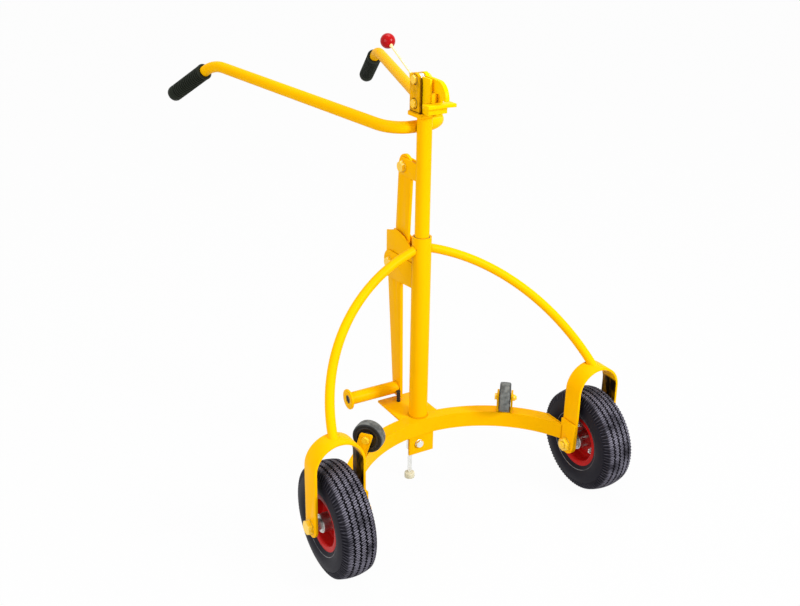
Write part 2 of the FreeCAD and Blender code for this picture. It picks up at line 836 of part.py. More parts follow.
# Ribbed stop for the foot lever
stop_x = lever_half + stop_side_gap + stop_radius
stop_y = pedal_axis.y - pedal_radius - face_clearance - stop_radius
stop_foot = Vector(-stop_x, stop_y, cradle_top)
stop_height = pedal_height
stop = rod(stop_foot, z_axis, stop_height, stop_radius)
rib_pitch = stop_height / stop_rib_count
for step in range(1, stop_rib_count):
    middle = stop_foot + z_axis * (step * rib_pitch - rib_pitch / 4)
    stop = stop.cut(tube(middle, z_axis, rib_pitch / 2, 2 * stop_radius, stop_radius - stop_rib_depth))
add("lever_stop", stop)

# Gripping head
base = block(
    (-head_base_half_width, head_base_half_width),
    (mast_y - head_base_forward, mast_y + head_base_back),
    (mast_top, head_base_top),
)
rear_corners = [
    edge
    for edge in base.Edges
    if abs(edge.tangentAt(edge.FirstParameter).z) > 0.5 and edge.CenterOfMass.y > mast_y
]
add("head_base", base.makeFillet(head_base_corner, rear_corners))
low_bolt = Vector(0, mast_y + low_bolt_back, head_base_top + low_bolt_height)
side_radius = (side_rear_y - side_front_y) / 2
side_middle_y = (side_rear_y + side_front_y) / 2


def head_plate(top_z):
    """A round-topped side plate of the head, as an outline."""
    spring_z = top_z - side_radius
    return outline(
        Vector(0, side_front_y, head_base_top),
        Vector(0, side_front_y, spring_z),
        (Vector(0, side_middle_y, top_z), Vector(0, side_rear_y, spring_z)),
        Vector(0, side_rear_y, head_base_top),
    )


beak_gap = beak_half_thickness + face_clearance
pivot_far_x = beak_gap + beak_washer
pivot_half_grip = (side_outer + pivot_far_x) / 2
pivot_bolt_centre = beak_pivot + x_axis * (pivot_far_x - pivot_half_grip)
high_side = slab(head_plate(head_base_top + side_height), -side_outer, -side_gap)
high_side = high_side.cut(cross_rod(beak_pivot, side_outer, head_bolt_radius))
low_side = slab(head_plate(head_base_top + low_side_height), side_gap, side_outer)
low_bolt_hole = cross_rod(low_bolt, side_outer, head_bolt_radius)
add("head_sides", high_side.cut(low_bolt_hole), low_side.cut(low_bolt_hole))
add(
    "head_bolts",
    bolt(pivot_bolt_centre, x_axis, pivot_half_grip, head_bolt_radius, head_bolt_hex, head_bolt_head),
    bolt(low_bolt, x_axis, side_outer, head_bolt_radius, head_bolt_hex, head_bolt_head),
)
spacer_outer = head_bolt_radius + spacer_wall
low_spacer = cross_rod(low_bolt, side_gap, spacer_outer).cut(cross_rod(low_bolt, side_gap, head_bolt_radius))
pivot_spacer = tube(
    beak_pivot - x_axis * side_gap, x_axis, side_gap - beak_gap, spacer_outer, head_bolt_radius
)
pivot_washer = tube(beak_pivot + x_axis * beak_gap, x_axis, beak_washer, spacer_outer, head_bolt_radius)
add("head_spacers", low_spacer, pivot_spacer, pivot_washer)
spring_start = beak_pivot - x_axis * side_gap
spring_length = side_gap - beak_gap - face_clearance
add(
    "beak_spring",
    tube(spring_start, x_axis, spring_length, spacer_outer + beak_spring_wall, spacer_outer),
)

# Fixed jaw: two side plates, a block between them and the lip under the drum's rim
jaw_outer = side_gap - jaw_gap
jaw_inner = jaw_outer - jaw_plate_thickness
corner_sag = jaw_corner * (1 - math.sqrt(0.5))


def jaw_plate(top_z):
    """A jaw plate with its rear lower corner rounded, as an outline."""
    return outline(
        Vector(0, jaw_front_y, head_base_top),
        Vector(0, jaw_front_y, top_z),
        Vector(0, jaw_rear_y, top_z),
        Vector(0, jaw_rear_y, head_base_top + jaw_corner),
        (
            Vector(0, jaw_rear_y - corner_sag, head_base_top + corner_sag),
            Vector(0, jaw_rear_y - jaw_corner, head_base_top),
        ),
    )


high_jaw = slab(jaw_plate(head_base_top + jaw_height), -jaw_outer, -jaw_inner)
low_jaw = slab(jaw_plate(head_base_top + low_jaw_height), jaw_inner, jaw_outer)
add("jaw_plates", high_jaw, low_jaw)
jaw_block = block(
    (-jaw_inner, jaw_inner),
    (jaw_front_y + block_inset, jaw_rear_y - jaw_corner),
    (head_base_top, head_base_top + block_height),
)
add("jaw_block", jaw_block)
lip = block((-lip_half_width, lip_half_width), (0, jaw_front_y), (lip_top - lip_thickness, lip_top))
lip = lip.cut(rod(origin, z_axis, 2 * lip_top, jaw_front_y - lip_reach))
lip_rib = block(
    (-lip_rib_half_width, lip_rib_half_width),
    (jaw_front_y - lip_rib_depth / 2, jaw_front_y),
    (lip_top - lip_thickness - lip_rib_depth, lip_top - lip_thickness),
)
add("jaw_lip", lip.fuse(lip_rib).removeSplitter())

# Beak that drops over the drum's rim, with its release rod and ball
beak_tip = beak_pivot - Vector(0, beak_tip_forward, beak_tip_drop)
beak_cheek = beak_pivot - Vector(0, beak_cheek_forward, beak_cheek_drop)
beak_brow = beak_pivot + Vector(0, -beak_brow_forward, beak_brow_rise)
beak_back = beak_pivot + Vector(0, -beak_back_forward, beak_back_rise)
tooth_rear_y = beak_tip.y + tooth_depth
mouth_top = beak_pivot.z - mouth_drop
beak_wire = outline(
    beak_tip,
    (beak_cheek, beak_brow),
    beak_back,
    beak_pivot,
    beak_pivot - z_axis * beak_boss_radius,
    Vector(0, tooth_rear_y + mouth_depth, mouth_top),
    Vector(0, tooth_rear_y + mouth_slope, mouth_top),
    Vector(0, tooth_rear_y, mouth_top - mouth_slope),
    Vector(0, tooth_rear_y, beak_tip.z),
)
tail = beak_pivot + Vector(0, tail_reach, -tail_drop)
beak = slab(beak_wire, -beak_half_thickness, beak_half_thickness)
beak = beak.fuse(
    slab(belt(beak_pivot, beak_boss_radius, tail, tail_radius), -beak_half_thickness, beak_half_thickness)
).removeSplitter()
beak = beak.cut(cross_rod(beak_pivot, beak_half_thickness, head_bolt_radius + running_clearance))
rod_way = ball_centre - tail
rod_reach = rod_way.Length
rod_way.normalize()
rod_start = tail + rod_way * (tail_radius - rod_foot_inset)
rod_length = rod_reach - tail_radius + rod_foot_inset - ball_radius + ball_bore_depth
release_rod = rod(rod_start, rod_way, rod_length, rod_radius)
add("beak", beak.cut(release_rod))
add("release_rod", release_rod)
add("ball_knob", Part.makeSphere(ball_radius, ball_centre).cut(release_rod))

os.makedirs("parts", exist_ok=True)
for name, shape in nodes.items():
    shape.exportStep("parts/" + name + ".step")
print(len(nodes), "nodes")
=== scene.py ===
"""Looks of a two-wheeled drum trolley: finishes, detailed pieces, studio and camera.

Sizes of pieces are in millimetres. Points in the scene and lengths in the finishes are in metres.
"""

import json
import logging
import math
from dataclasses import dataclass
from enum import Enum
from typing import Callable, Optional, Sequence, Union

import bmesh
import bpy
from mathutils import Matrix, Vector

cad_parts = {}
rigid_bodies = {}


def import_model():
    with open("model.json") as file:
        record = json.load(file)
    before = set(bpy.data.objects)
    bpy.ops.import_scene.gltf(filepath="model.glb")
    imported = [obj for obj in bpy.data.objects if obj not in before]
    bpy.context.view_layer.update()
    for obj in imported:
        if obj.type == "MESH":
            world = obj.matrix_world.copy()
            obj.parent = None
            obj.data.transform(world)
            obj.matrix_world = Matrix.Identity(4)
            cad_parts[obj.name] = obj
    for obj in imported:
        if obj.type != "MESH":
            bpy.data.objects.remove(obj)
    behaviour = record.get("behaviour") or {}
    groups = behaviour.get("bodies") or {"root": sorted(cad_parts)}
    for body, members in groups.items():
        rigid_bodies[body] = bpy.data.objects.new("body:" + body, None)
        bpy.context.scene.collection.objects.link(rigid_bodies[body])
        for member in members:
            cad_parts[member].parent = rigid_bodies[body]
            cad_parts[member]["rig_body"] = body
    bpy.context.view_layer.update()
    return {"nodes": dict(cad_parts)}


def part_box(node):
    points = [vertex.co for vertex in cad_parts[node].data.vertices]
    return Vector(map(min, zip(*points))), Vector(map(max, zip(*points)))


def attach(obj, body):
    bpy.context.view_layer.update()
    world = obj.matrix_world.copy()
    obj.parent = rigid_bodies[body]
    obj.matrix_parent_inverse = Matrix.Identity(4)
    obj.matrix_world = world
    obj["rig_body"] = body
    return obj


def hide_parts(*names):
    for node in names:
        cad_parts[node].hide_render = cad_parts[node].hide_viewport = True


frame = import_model()

MM = 0.001
ACROSS = Vector((1, 0, 0))
BACK = Vector((0, 1, 0))
UP = Vector((0, 0, 1))
# Degrees round the drum's axis from the middle to each guide roller
ROLLER_ANGLE = 38.3
# Degrees above which the edges of most pieces are sharp
CREASE = 38.0
LOG = logging.getLogger("drum_trolley")
Colour = tuple[float, float, float]
Place = tuple[float, float, float]
Line = tuple[Place, Place]
Range = tuple[float, float]
Profile = list[tuple[float, float]]


class Side(Enum):
    """The trolley's two sides, as the sign of X."""

    LEFT = -1
    RIGHT = 1

    @property
    def word(self) -> str:
        """The side's name as the nodes spell it."""
        return self.name.lower()


class Body(Enum):
    """The bodies that pieces ride on."""

    FRAME = "frame"
    MAST = "mast"
    LEVER = "lever"
    LINK = "link"
    JAW = "jaw"
    LEFT_WHEEL = "left_wheel"
    RIGHT_WHEEL = "right_wheel"
    LEFT_ROLLER = "left_roller"
    RIGHT_ROLLER = "right_roller"


# Places


def middle(node: str) -> Vector:
    """The middle of a node's box, in metres."""
    low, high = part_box(node)
    return (low + high) / 2


def roller_axis(side: Side) -> Vector:
    """The axis of a guide roller, square to the line from the drum's axis to it."""
    turn = math.radians(ROLLER_ANGLE) * -side.value
    return Vector((math.cos(turn), math.sin(turn), 0))


# Shader building


class Signal:
    """A shader socket that takes part in arithmetic."""

    def __init__(self, graph: "ShaderGraph", socket: bpy.types.NodeSocket) -> None:
        """Wrap an output socket of a graph."""
        self.graph = graph
        self.socket = socket

    def _with(self, operation: str, first: "Operand", second: "Operand" = 0.0) -> "Signal":
        """Join two operands by an operation of the Math node."""
        node = self.graph.add("ShaderNodeMath", {"operation": operation}, {0: first, 1: second})
        return Signal(self.graph, node.outputs[0])

    def __add__(self, other: "Operand") -> "Signal":
        """Sum."""
        return self._with("ADD", self, other)

    __radd__ = __add__

    def __sub__(self, other: "Operand") -> "Signal":
        """Difference."""
        return self._with("SUBTRACT", self, other)

    def __rsub__(self, other: "Operand") -> "Signal":
        """Difference from a number."""
        return self._with("SUBTRACT", other, self)

    def __mul__(self, other: "Operand") -> "Signal":
        """Product."""
        return self._with("MULTIPLY", self, other)

    __rmul__ = __mul__

    def __pow__(self, other: "Operand") -> "Signal":
        """Power."""
        return self._with("POWER", self, other)

    def __rpow__(self, other: "Operand") -> "Signal":
        """Power of a number."""
        return self._with("POWER", other, self)

    def __abs__(self) -> "Signal":
        """Absolute value."""
        return self._with("ABSOLUTE", self)

    def angle_to(self, other: "Operand") -> "Signal":
        """Angle of the direction that has this signal upwards and another one sideways."""
        return self._with("ARCTAN2", self, other)

    def wave(self) -> "Signal":
        """Sine of the signal, from zero to one."""
        return self._with("SINE", self) * 0.5 + 0.5

    def between(self, low: float, high: float) -> "Signal":
        """A smooth step from zero at the low value to one at the high value."""
        inputs = {"Value": self, "From Min": low, "From Max": high}
        node = self.graph.add("ShaderNodeMapRange", {"interpolation_type": "SMOOTHSTEP"}, inputs)
        return Signal(self.graph, node.outputs[0])


Operand = Union[Signal, float]


class ShaderGraph:
    """The nodes of one material or world, and the means to add to them."""

    def __init__(self, owner: Union[bpy.types.Material, bpy.types.World]) -> None:
        """Empty the owner's nodes.

        Args:
            owner: The material or world.
        """
        owner.use_nodes = True
        self.owner = owner
        self.tree = owner.node_tree
        self.tree.nodes.clear()

    @classmethod
    def named(cls, name: str) -> "ShaderGraph":
        """Start a new material."""
        return cls(bpy.data.materials.new(name))

    def add(
        self, kind: str, settings: Optional[dict] = None, inputs: Optional[dict] = None
    ) -> bpy.types.Node:
        """Create any node.

        Args:
            kind: The node's type.
            settings: Attributes that are set first.
            inputs: Socket names, identifiers or numbers, with a value, a Signal or a socket for each.

        Returns:
            The node.
        """
        node = self.tree.nodes.new(kind)
        for key, value in (settings or {}).items():
            setattr(node, key, value)
        for key, value in (inputs or {}).items():
            socket = self._socket(node, key)
            if isinstance(value, Signal):
                value = value.socket
            if isinstance(value, bpy.types.NodeSocket):
                self.tree.links.new(value, socket)
            else:
                socket.default_value = value
        return node

    @staticmethod
    def _socket(node: bpy.types.Node, key: Union[str, int]) -> bpy.types.NodeSocket:
        """Find an input socket by identifier, name or number."""
        matches = [socket for socket in node.inputs if socket.identifier == key]
        return matches[0] if matches else node.inputs[key]

    def place(self) -> bpy.types.NodeSocket:
        """The point on the surface, in the piece's own space."""
        return self.add("ShaderNodeTexCoord").outputs["Object"]

    def noise(self, scale: float, detail: float, stretch: Optional[Place] = None) -> Signal:
        """Soft random variation.

        Args:
            scale: Features per metre.
            detail: Octaves.
            stretch: A factor on each axis, for drawn-out grain.

        Returns:
            A value around one half.
        """
        where = self.place()
        if stretch:
            where = self.add("ShaderNodeMapping", None, {"Vector": where, "Scale": stretch}).outputs[0]
        node = self.add("ShaderNodeTexNoise", None, {"Vector": where, "Scale": scale, "Detail": detail})
        return Signal(self, node.outputs[0])

    def cells(self, scale: float) -> Signal:
        """Distance to the middle of random cells, from zero to about one."""
        node = self.add("ShaderNodeTexVoronoi", None, {"Vector": self.place(), "Scale": scale})
        return Signal(self, node.outputs["Distance"])

    def axes(self) -> tuple[Signal, Signal, Signal]:
        """The three coordinates of the point on the surface."""
        node = self.add("ShaderNodeSeparateXYZ", None, {0: self.place()})
        return tuple(Signal(self, node.outputs[index]) for index in range(3))

    def facing(self, way: Sequence[float]) -> Signal:
        """How much a surface faces a direction.

        Args:
            way: The direction, of length one.

        Returns:
            A value from minus one to one.
        """
        normal = self.add("ShaderNodeNewGeometry").outputs["Normal"]
        node = self.add("ShaderNodeVectorMath", {"operation": "DOT_PRODUCT"}, {0: normal, 1: way})
        return Signal(self, node.outputs["Value"])

    def seam(self, reach: float) -> Signal:
        """How far other surfaces close in round a point, within a reach in metres, from zero to one."""
        node = self.add("ShaderNodeAmbientOcclusion", {"samples": 8}, {"Distance": reach})
        return 1.0 - Signal(self, node.outputs["AO"])

    def mix(self, factor: Operand, first: object, second: object) -> bpy.types.NodeSocket:
        """Blend two colours.

        Args:
            factor: Share of the second colour.
            first: A colour or a socket.
            second: A colour or a socket.

        Returns:
            The blended colour's socket.
        """
        ends = [(*end, 1.0) if isinstance(end, tuple) else end for end in (first, second)]
        inputs = {"Factor_Float": factor, "A_Color": ends[0], "B_Color": ends[1]}
        return self.add("ShaderNodeMix", {"data_type": "RGBA"}, inputs).outputs[2]

    def bump(self, height: Signal, strength: float, depth: float) -> bpy.types.NodeSocket:
        """Normal of a relief, with the share that shows and the depth in metres of a height of one."""
        inputs = {"Height": height, "Strength": strength, "Distance": depth}
        return self.add("ShaderNodeBump", None, inputs).outputs[0]

    def surface(self, **inputs: object) -> bpy.types.Material:
        """Close the material with one Principled shader.

        Args:
            **inputs: The shader's sockets, with underscores for spaces.

        Returns:
            The material.
        """
        named = {key.replace("_", " "): value for key, value in inputs.items()}
        shader = self.add("ShaderNodeBsdfPrincipled", None, named)
        self.add("ShaderNodeOutputMaterial", None, {"Surface": shader.outputs[0]})
        return self.owner


# Finishes


@dataclass(frozen=True)
class Paint:
    """Gloss enamel with a faint orange peel, thin spots, a little settled dust and painted shade in the
    seams.

    Creep is how far the painted shade of the seams spreads. A fork's paint also has a painted shadow of its
    tyre on the faces beside it, over a range of distances in metres from the wheel's middle, and the head's
    plates have painted shade in clouds, darkest on the faces that face forward, beside the jaw.
    """

    name: str
    colour: Colour = (0.96, 0.485, 0.0)
    thin: Colour = (0.93, 0.43, 0.0)
    dust: Colour = (0.62, 0.40, 0.1)
    roughness: float = 0.34
    gloss: float = 0.02
    # Colour of the painted shade in seams and round bolts.
    grime: Colour = (0.085, 0.038, 0.002)
    seam_reach: float = 0.006
    creep: float = 1.0
    # Painted shadow of the tyre on a fork's faces beside it, set in over a band of distances from the wheel's
    # middle.
    wheel_x: Optional[float] = None
    tyre_shadow_band: Range = (0.0485, 0.0525)
    # Strength of the painted shade on the head's plates.
    oil: float = 0.0
    # Colour of the painted shadow beside the tyres and of the painted shade on the head's plates.
    black: Colour = (0.010, 0.007, 0.003)

    def make(self) -> bpy.types.Material:
        """Build the material.

        Returns:
            The material.
        """
        graph = ShaderGraph.named(self.name)
        clouds = graph.noise(7.0, 4.0)
        specks = graph.noise(420.0, 2.0)
        peel = graph.noise(900.0, 1.0)
        body = graph.mix(clouds.between(0.35, 0.75) * 0.55, self.colour, self.thin)
        # Painted shade: darker where other surfaces close in round the paint, in seams and round bolts.
        seams = (graph.seam(self.seam_reach) * self.creep).between(0.3, 0.8)
        body = graph.mix(seams * 0.85, body, self.grime)
        # Painted shadow: the faces of a fork that look at its tyre go black, in soft mottles.
        if self.wheel_x is not None:
            towards = (self.wheel_x - graph.axes()[0]) * graph.facing(ACROSS)
            shadow_mottle = 0.72 + graph.noise(60.0, 5.0, (1.0, 1.0, 0.3)).between(0.35, 0.6) * 0.28
            body = graph.mix(towards.between(*self.tyre_shadow_band) * shadow_mottle, body, self.black)
        # Painted shade on the head's plates: darker in clouds and most on the faces that face forward, beside
        # the jaw.
        if self.oil:
            edge = graph.facing(-BACK).between(0.6, 0.9)
            shade_clouds = graph.noise(70.0, 4.0).between(0.35, 0.8) * 0.45
            body = graph.mix((shade_clouds + edge * 0.6) * self.oil, body, self.black)
        settled = graph.facing(UP).between(0.75, 1.0) * specks.between(0.5, 0.78) * 0.07
        return graph.surface(
            Base_Color=graph.mix(settled, body, self.dust),
            Roughness=self.roughness + (clouds - 0.5) * 0.12 + settled * 0.8,
            Normal=graph.bump(peel + clouds * 0.5, 0.10, 0.0006),
            Specular_IOR_Level=self.gloss,
        )


@dataclass(frozen=True)
class Plated:
    """Zinc-plated steel: mottled crystals under fine drawn scratches."""

    name: str
    colour: Colour
    shade: Colour
    roughness: float = 0.32

    def make(self) -> bpy.types.Material:
        """Build the material.

        Returns:
            The material.
        """
        graph = ShaderGraph.named(self.name)
        mottle = graph.cells(260.0)
        scratch = graph.noise(160.0, 4.0, (1.0, 9.0, 1.0))
        return graph.surface(
            Base_Color=graph.mix(mottle.between(0.1, 0.8), self.colour, self.shade),
            Metallic=1.0,
            Roughness=self.roughness + (mottle - 0.4) * 0.16 + (scratch - 0.5) * 0.18,
            Normal=graph.bump(scratch, 0.16, 0.0005),
        )


@dataclass(frozen=True)
class Rubber:
    """Moulded rubber with a fine grain and a paler bloom, and painted shade between ribs where it has them.
    """

    name: str
    colour: Colour
    bloom: Colour
    roughness: float = 0.62
    grain: float = 700.0
    gloss: float = 0.2
    rib_shade: Optional[Colour] = None
    rib_reach: float = 0.004

    def make(self) -> bpy.types.Material:
        """Build the material.

        Returns:
            The material.
        """
        graph = ShaderGraph.named(self.name)
        clouds = graph.noise(24.0, 5.0)
        grain = graph.noise(self.grain, 3.0)
        body = graph.mix(clouds.between(0.4, 0.8) * 0.7, self.colour, self.bloom)
        # Painted shade: the grooves between ribs go darker where the rubber closes in round them.
        if self.rib_shade:
            body = graph.mix(graph.seam(self.rib_reach).between(0.02, 0.22), body, self.rib_shade)
        return graph.surface(
            Base_Color=body,
            Roughness=self.roughness + (grain - 0.5) * 0.25,
            Normal=graph.bump(grain + clouds * 0.4, 0.22, 0.0008),
            Specular_IOR_Level=self.gloss,
        )


@dataclass(frozen=True)
class TyreRubber:
    """Tyre compound: a finely cut tread paler with dust and painted highlight, with painted shade in its
    grooves, cleaner walls, and one thin pale ring on each wall.

    Lengths are in metres. The shoulder, the tread and the cuts each set in over a range of radii.
    """

    name: str
    centre_y: float
    centre_z: float
    ring_radius: float
    ring_half: float = 0.0009
    colour: Colour = (0.0100, 0.0092, 0.0145)
    # Pale of the tread: dust and painted highlight.
    dust_and_highlight: Colour = (0.225, 0.215, 0.268)
    ring: Colour = (0.30, 0.30, 0.31)
    cuts: float = 160.0
    slant: float = 420.0
    shoulder: Range = (0.107, 0.113)
    tread: Range = (0.1235, 0.1265)
    cut_from: Range = (0.122, 0.125)
    seam_reach: float = 0.006

    def make(self) -> bpy.types.Material:
        """Build the material.

        Returns:
            The material.
        """
        graph = ShaderGraph.named(self.name)
        x, y, z = graph.axes()
        y, z = y - self.centre_y, z - self.centre_z
        radius = (y ** 2.0 + z ** 2.0) ** 0.5
        cut = (z.angle_to(y) * self.cuts + x * self.slant).wave().between(0.3, 0.7)
        line = 1.0 - abs(radius - self.ring_radius).between(self.ring_half * 0.5, self.ring_half)
        clouds = graph.noise(30.0, 5.0)
        grain = graph.noise(650.0, 3.0)
        raised = radius.between(*self.shoulder) * 0.3 + radius.between(*self.tread) * 0.7
        # Painted shade: the grooves keep the dark colour, without dust or painted highlight.
        outside_groove_shade = 1.0 - graph.seam(self.seam_reach).between(0.08, 0.4)
        # Share of the tread's pale: dust on the raised faces and painted highlight along the cuts.
        worn = raised * clouds.between(0.2, 0.7) * outside_groove_shade
        body = graph.mix(worn * (0.15 + cut * 0.85), self.colour, self.dust_and_highlight)
        return graph.surface(
            Base_Color=graph.mix(line * clouds.between(0.25, 0.6) * 0.7, body, self.ring),
            Roughness=0.52 + worn * 0.25 + (grain - 0.5) * 0.2,
            Normal=graph.bump(grain + cut * radius.between(*self.cut_from) * 2.0, 0.25, 0.0008),
            Specular_IOR_Level=0.1,
        )


@dataclass(frozen=True)
class RollerRubber:
    """A guide roller's tyre: a worn grey running face between black walls."""

    name: str
    axis: Place
    colour: Colour = (0.011, 0.012, 0.012)
    worn: Colour = (0.165, 0.174, 0.165)

    def make(self) -> bpy.types.Material:
        """Build the material.

        Returns:
            The material.
        """
        graph = ShaderGraph.named(self.name)
        running = 1.0 - abs(graph.facing(self.axis)).between(0.35, 0.8)
        clouds = graph.noise(60.0, 5.0)
        grain = graph.noise(600.0, 3.0)
        share = running * (0.35 + clouds.between(0.35, 0.6) * 0.65)
        return graph.surface(
            Base_Color=graph.mix(share, self.colour, self.worn),
            Roughness=0.5 + running * 0.12 + (grain - 0.5) * 0.2,
            Normal=graph.bump(grain + clouds * 0.5, 0.2, 0.0008),
            Specular_IOR_Level=0.25,
        )


@dataclass(frozen=True)
class Plastic:
    """Moulded plastic, glossy or matt."""

    name: str
    colour: Colour
    shade: Colour
    roughness: float
    coat: float = 0.0
    gloss: float = 0.5

    def make(self) -> bpy.types.Material:
        """Build the material.

        Returns:
            The material.
        """
        graph = ShaderGraph.named(self.name)
        clouds = graph.noise(45.0, 4.0)
        grain = graph.noise(1200.0, 2.0)
        return graph.surface(
            Base_Color=graph.mix(clouds.between(0.35, 0.8) * 0.6, self.colour, self.shade),
            Roughness=self.roughness + (grain - 0.5) * 0.1,
            Normal=graph.bump(grain, 0.06, 0.0004),
            Specular_IOR_Level=self.gloss,
            Coat_Weight=self.coat,
            Coat_Roughness=0.05,
        )


class Palette:
    """The finishes that sub-assemblies share, built once."""

    def __init__(self) -> None:
        """Build every material."""
        # Every enamel below has painted shade in its seams and round its bolts.
        self.yellow = Paint("yellow_enamel").make()
        self.weld = Paint("weld_enamel", (0.78, 0.36, 0.0), (0.55, 0.24, 0.0), roughness=0.4).make()
        # The head's sides: a darker copy of the yellow, with painted shade on the plates and wider painted
        # shade round the bolts.
        self.shaded_head = Paint("oiled_enamel", (0.90, 0.44, 0.0), (0.72, 0.33, 0.0), oil=1.0, creep=3.0).make()
        # The jaw's pieces: a lighter copy of the yellow, painted light.
        self.jaw = Paint("jaw_enamel", (0.97, 0.575, 0.0), (0.95, 0.52, 0.0)).make()
        # Each fork's enamel has the painted shadow of its tyre on the faces beside it.
        self.forks = {
            side: Paint(side.word + "_fork_enamel", wheel_x=middle(side.word + "_rim").x).make()
            for side in Side
        }
        self.red = Paint(
            "red_rim_enamel", (0.50, 0.007, 0.006), (0.32, 0.004, 0.004), dust=(0.3, 0.2, 0.16),
            roughness=0.28, gloss=0.08, grime=(0.03, 0.002, 0.002),
        ).make()
        self.bolts = Paint(
            "bolt_enamel", (0.97, 0.60, 0.015), (0.95, 0.52, 0.0), roughness=0.24, gloss=0.55
        ).make()
        self.zinc = Plated("zinc_plate", (0.78, 0.77, 0.74), (0.56, 0.55, 0.53)).make()
        self.pale_steel = Plated("yellow_zinc_plate", (1.0, 0.84, 0.45), (0.9, 0.68, 0.28), 0.38).make()
        self.white_zinc = Plated("white_zinc_plate", (0.93, 0.93, 0.90), (0.80, 0.80, 0.77), 0.42).make()
        # The grip has painted shade between its ribs.
        self.grip = Rubber(
            "grip_rubber", (0.019, 0.023, 0.016), (0.030, 0.036, 0.026), roughness=0.40, grain=900.0,
            gloss=0.04, rib_shade=(0.001, 0.001, 0.001),
        ).make()
        self.buffer = Rubber("buffer_rubber", (0.02, 0.017, 0.014), (0.035, 0.03, 0.026)).make()
        self.core = Plastic("black_core", (0.010, 0.010, 0.011), (0.02, 0.02, 0.021), 0.42).make()
        self.pale = Plastic("pale_foot", (0.74, 0.70, 0.50), (0.66, 0.61, 0.42), 0.45).make()
        self.guide = Plastic("guide_plastic", (0.02, 0.02, 0.02), (0.035, 0.035, 0.035), 0.5).make()
        self.ball = Plastic("red_ball", (0.42, 0.002, 0.003), (0.33, 0.002, 0.002), 0.22, 0.05, 0.12).make()


# Mesh building


def rays(axis: Vector, steps: int) -> list[Vector]:
    """Directions of length one, spread evenly round an axis.

    Args:
        axis: The axis.
        steps: Number of directions.

    Returns:
        The directions.
    """
    along = axis.normalized()
    helper = UP if abs(along.z) < 0.9 else BACK
    across = helper.cross(along).normalized()
    other = along.cross(across)
    turns = (2 * math.pi * step / steps for step in range(steps))
    return [across * math.cos(turn) + other * math.sin(turn) for turn in turns]


def mirrored(half: Profile) -> Profile:
    """A profile from its half on the positive side, which runs towards the middle."""
    return [(-along, radius) for along, radius in half] + half[::-1]


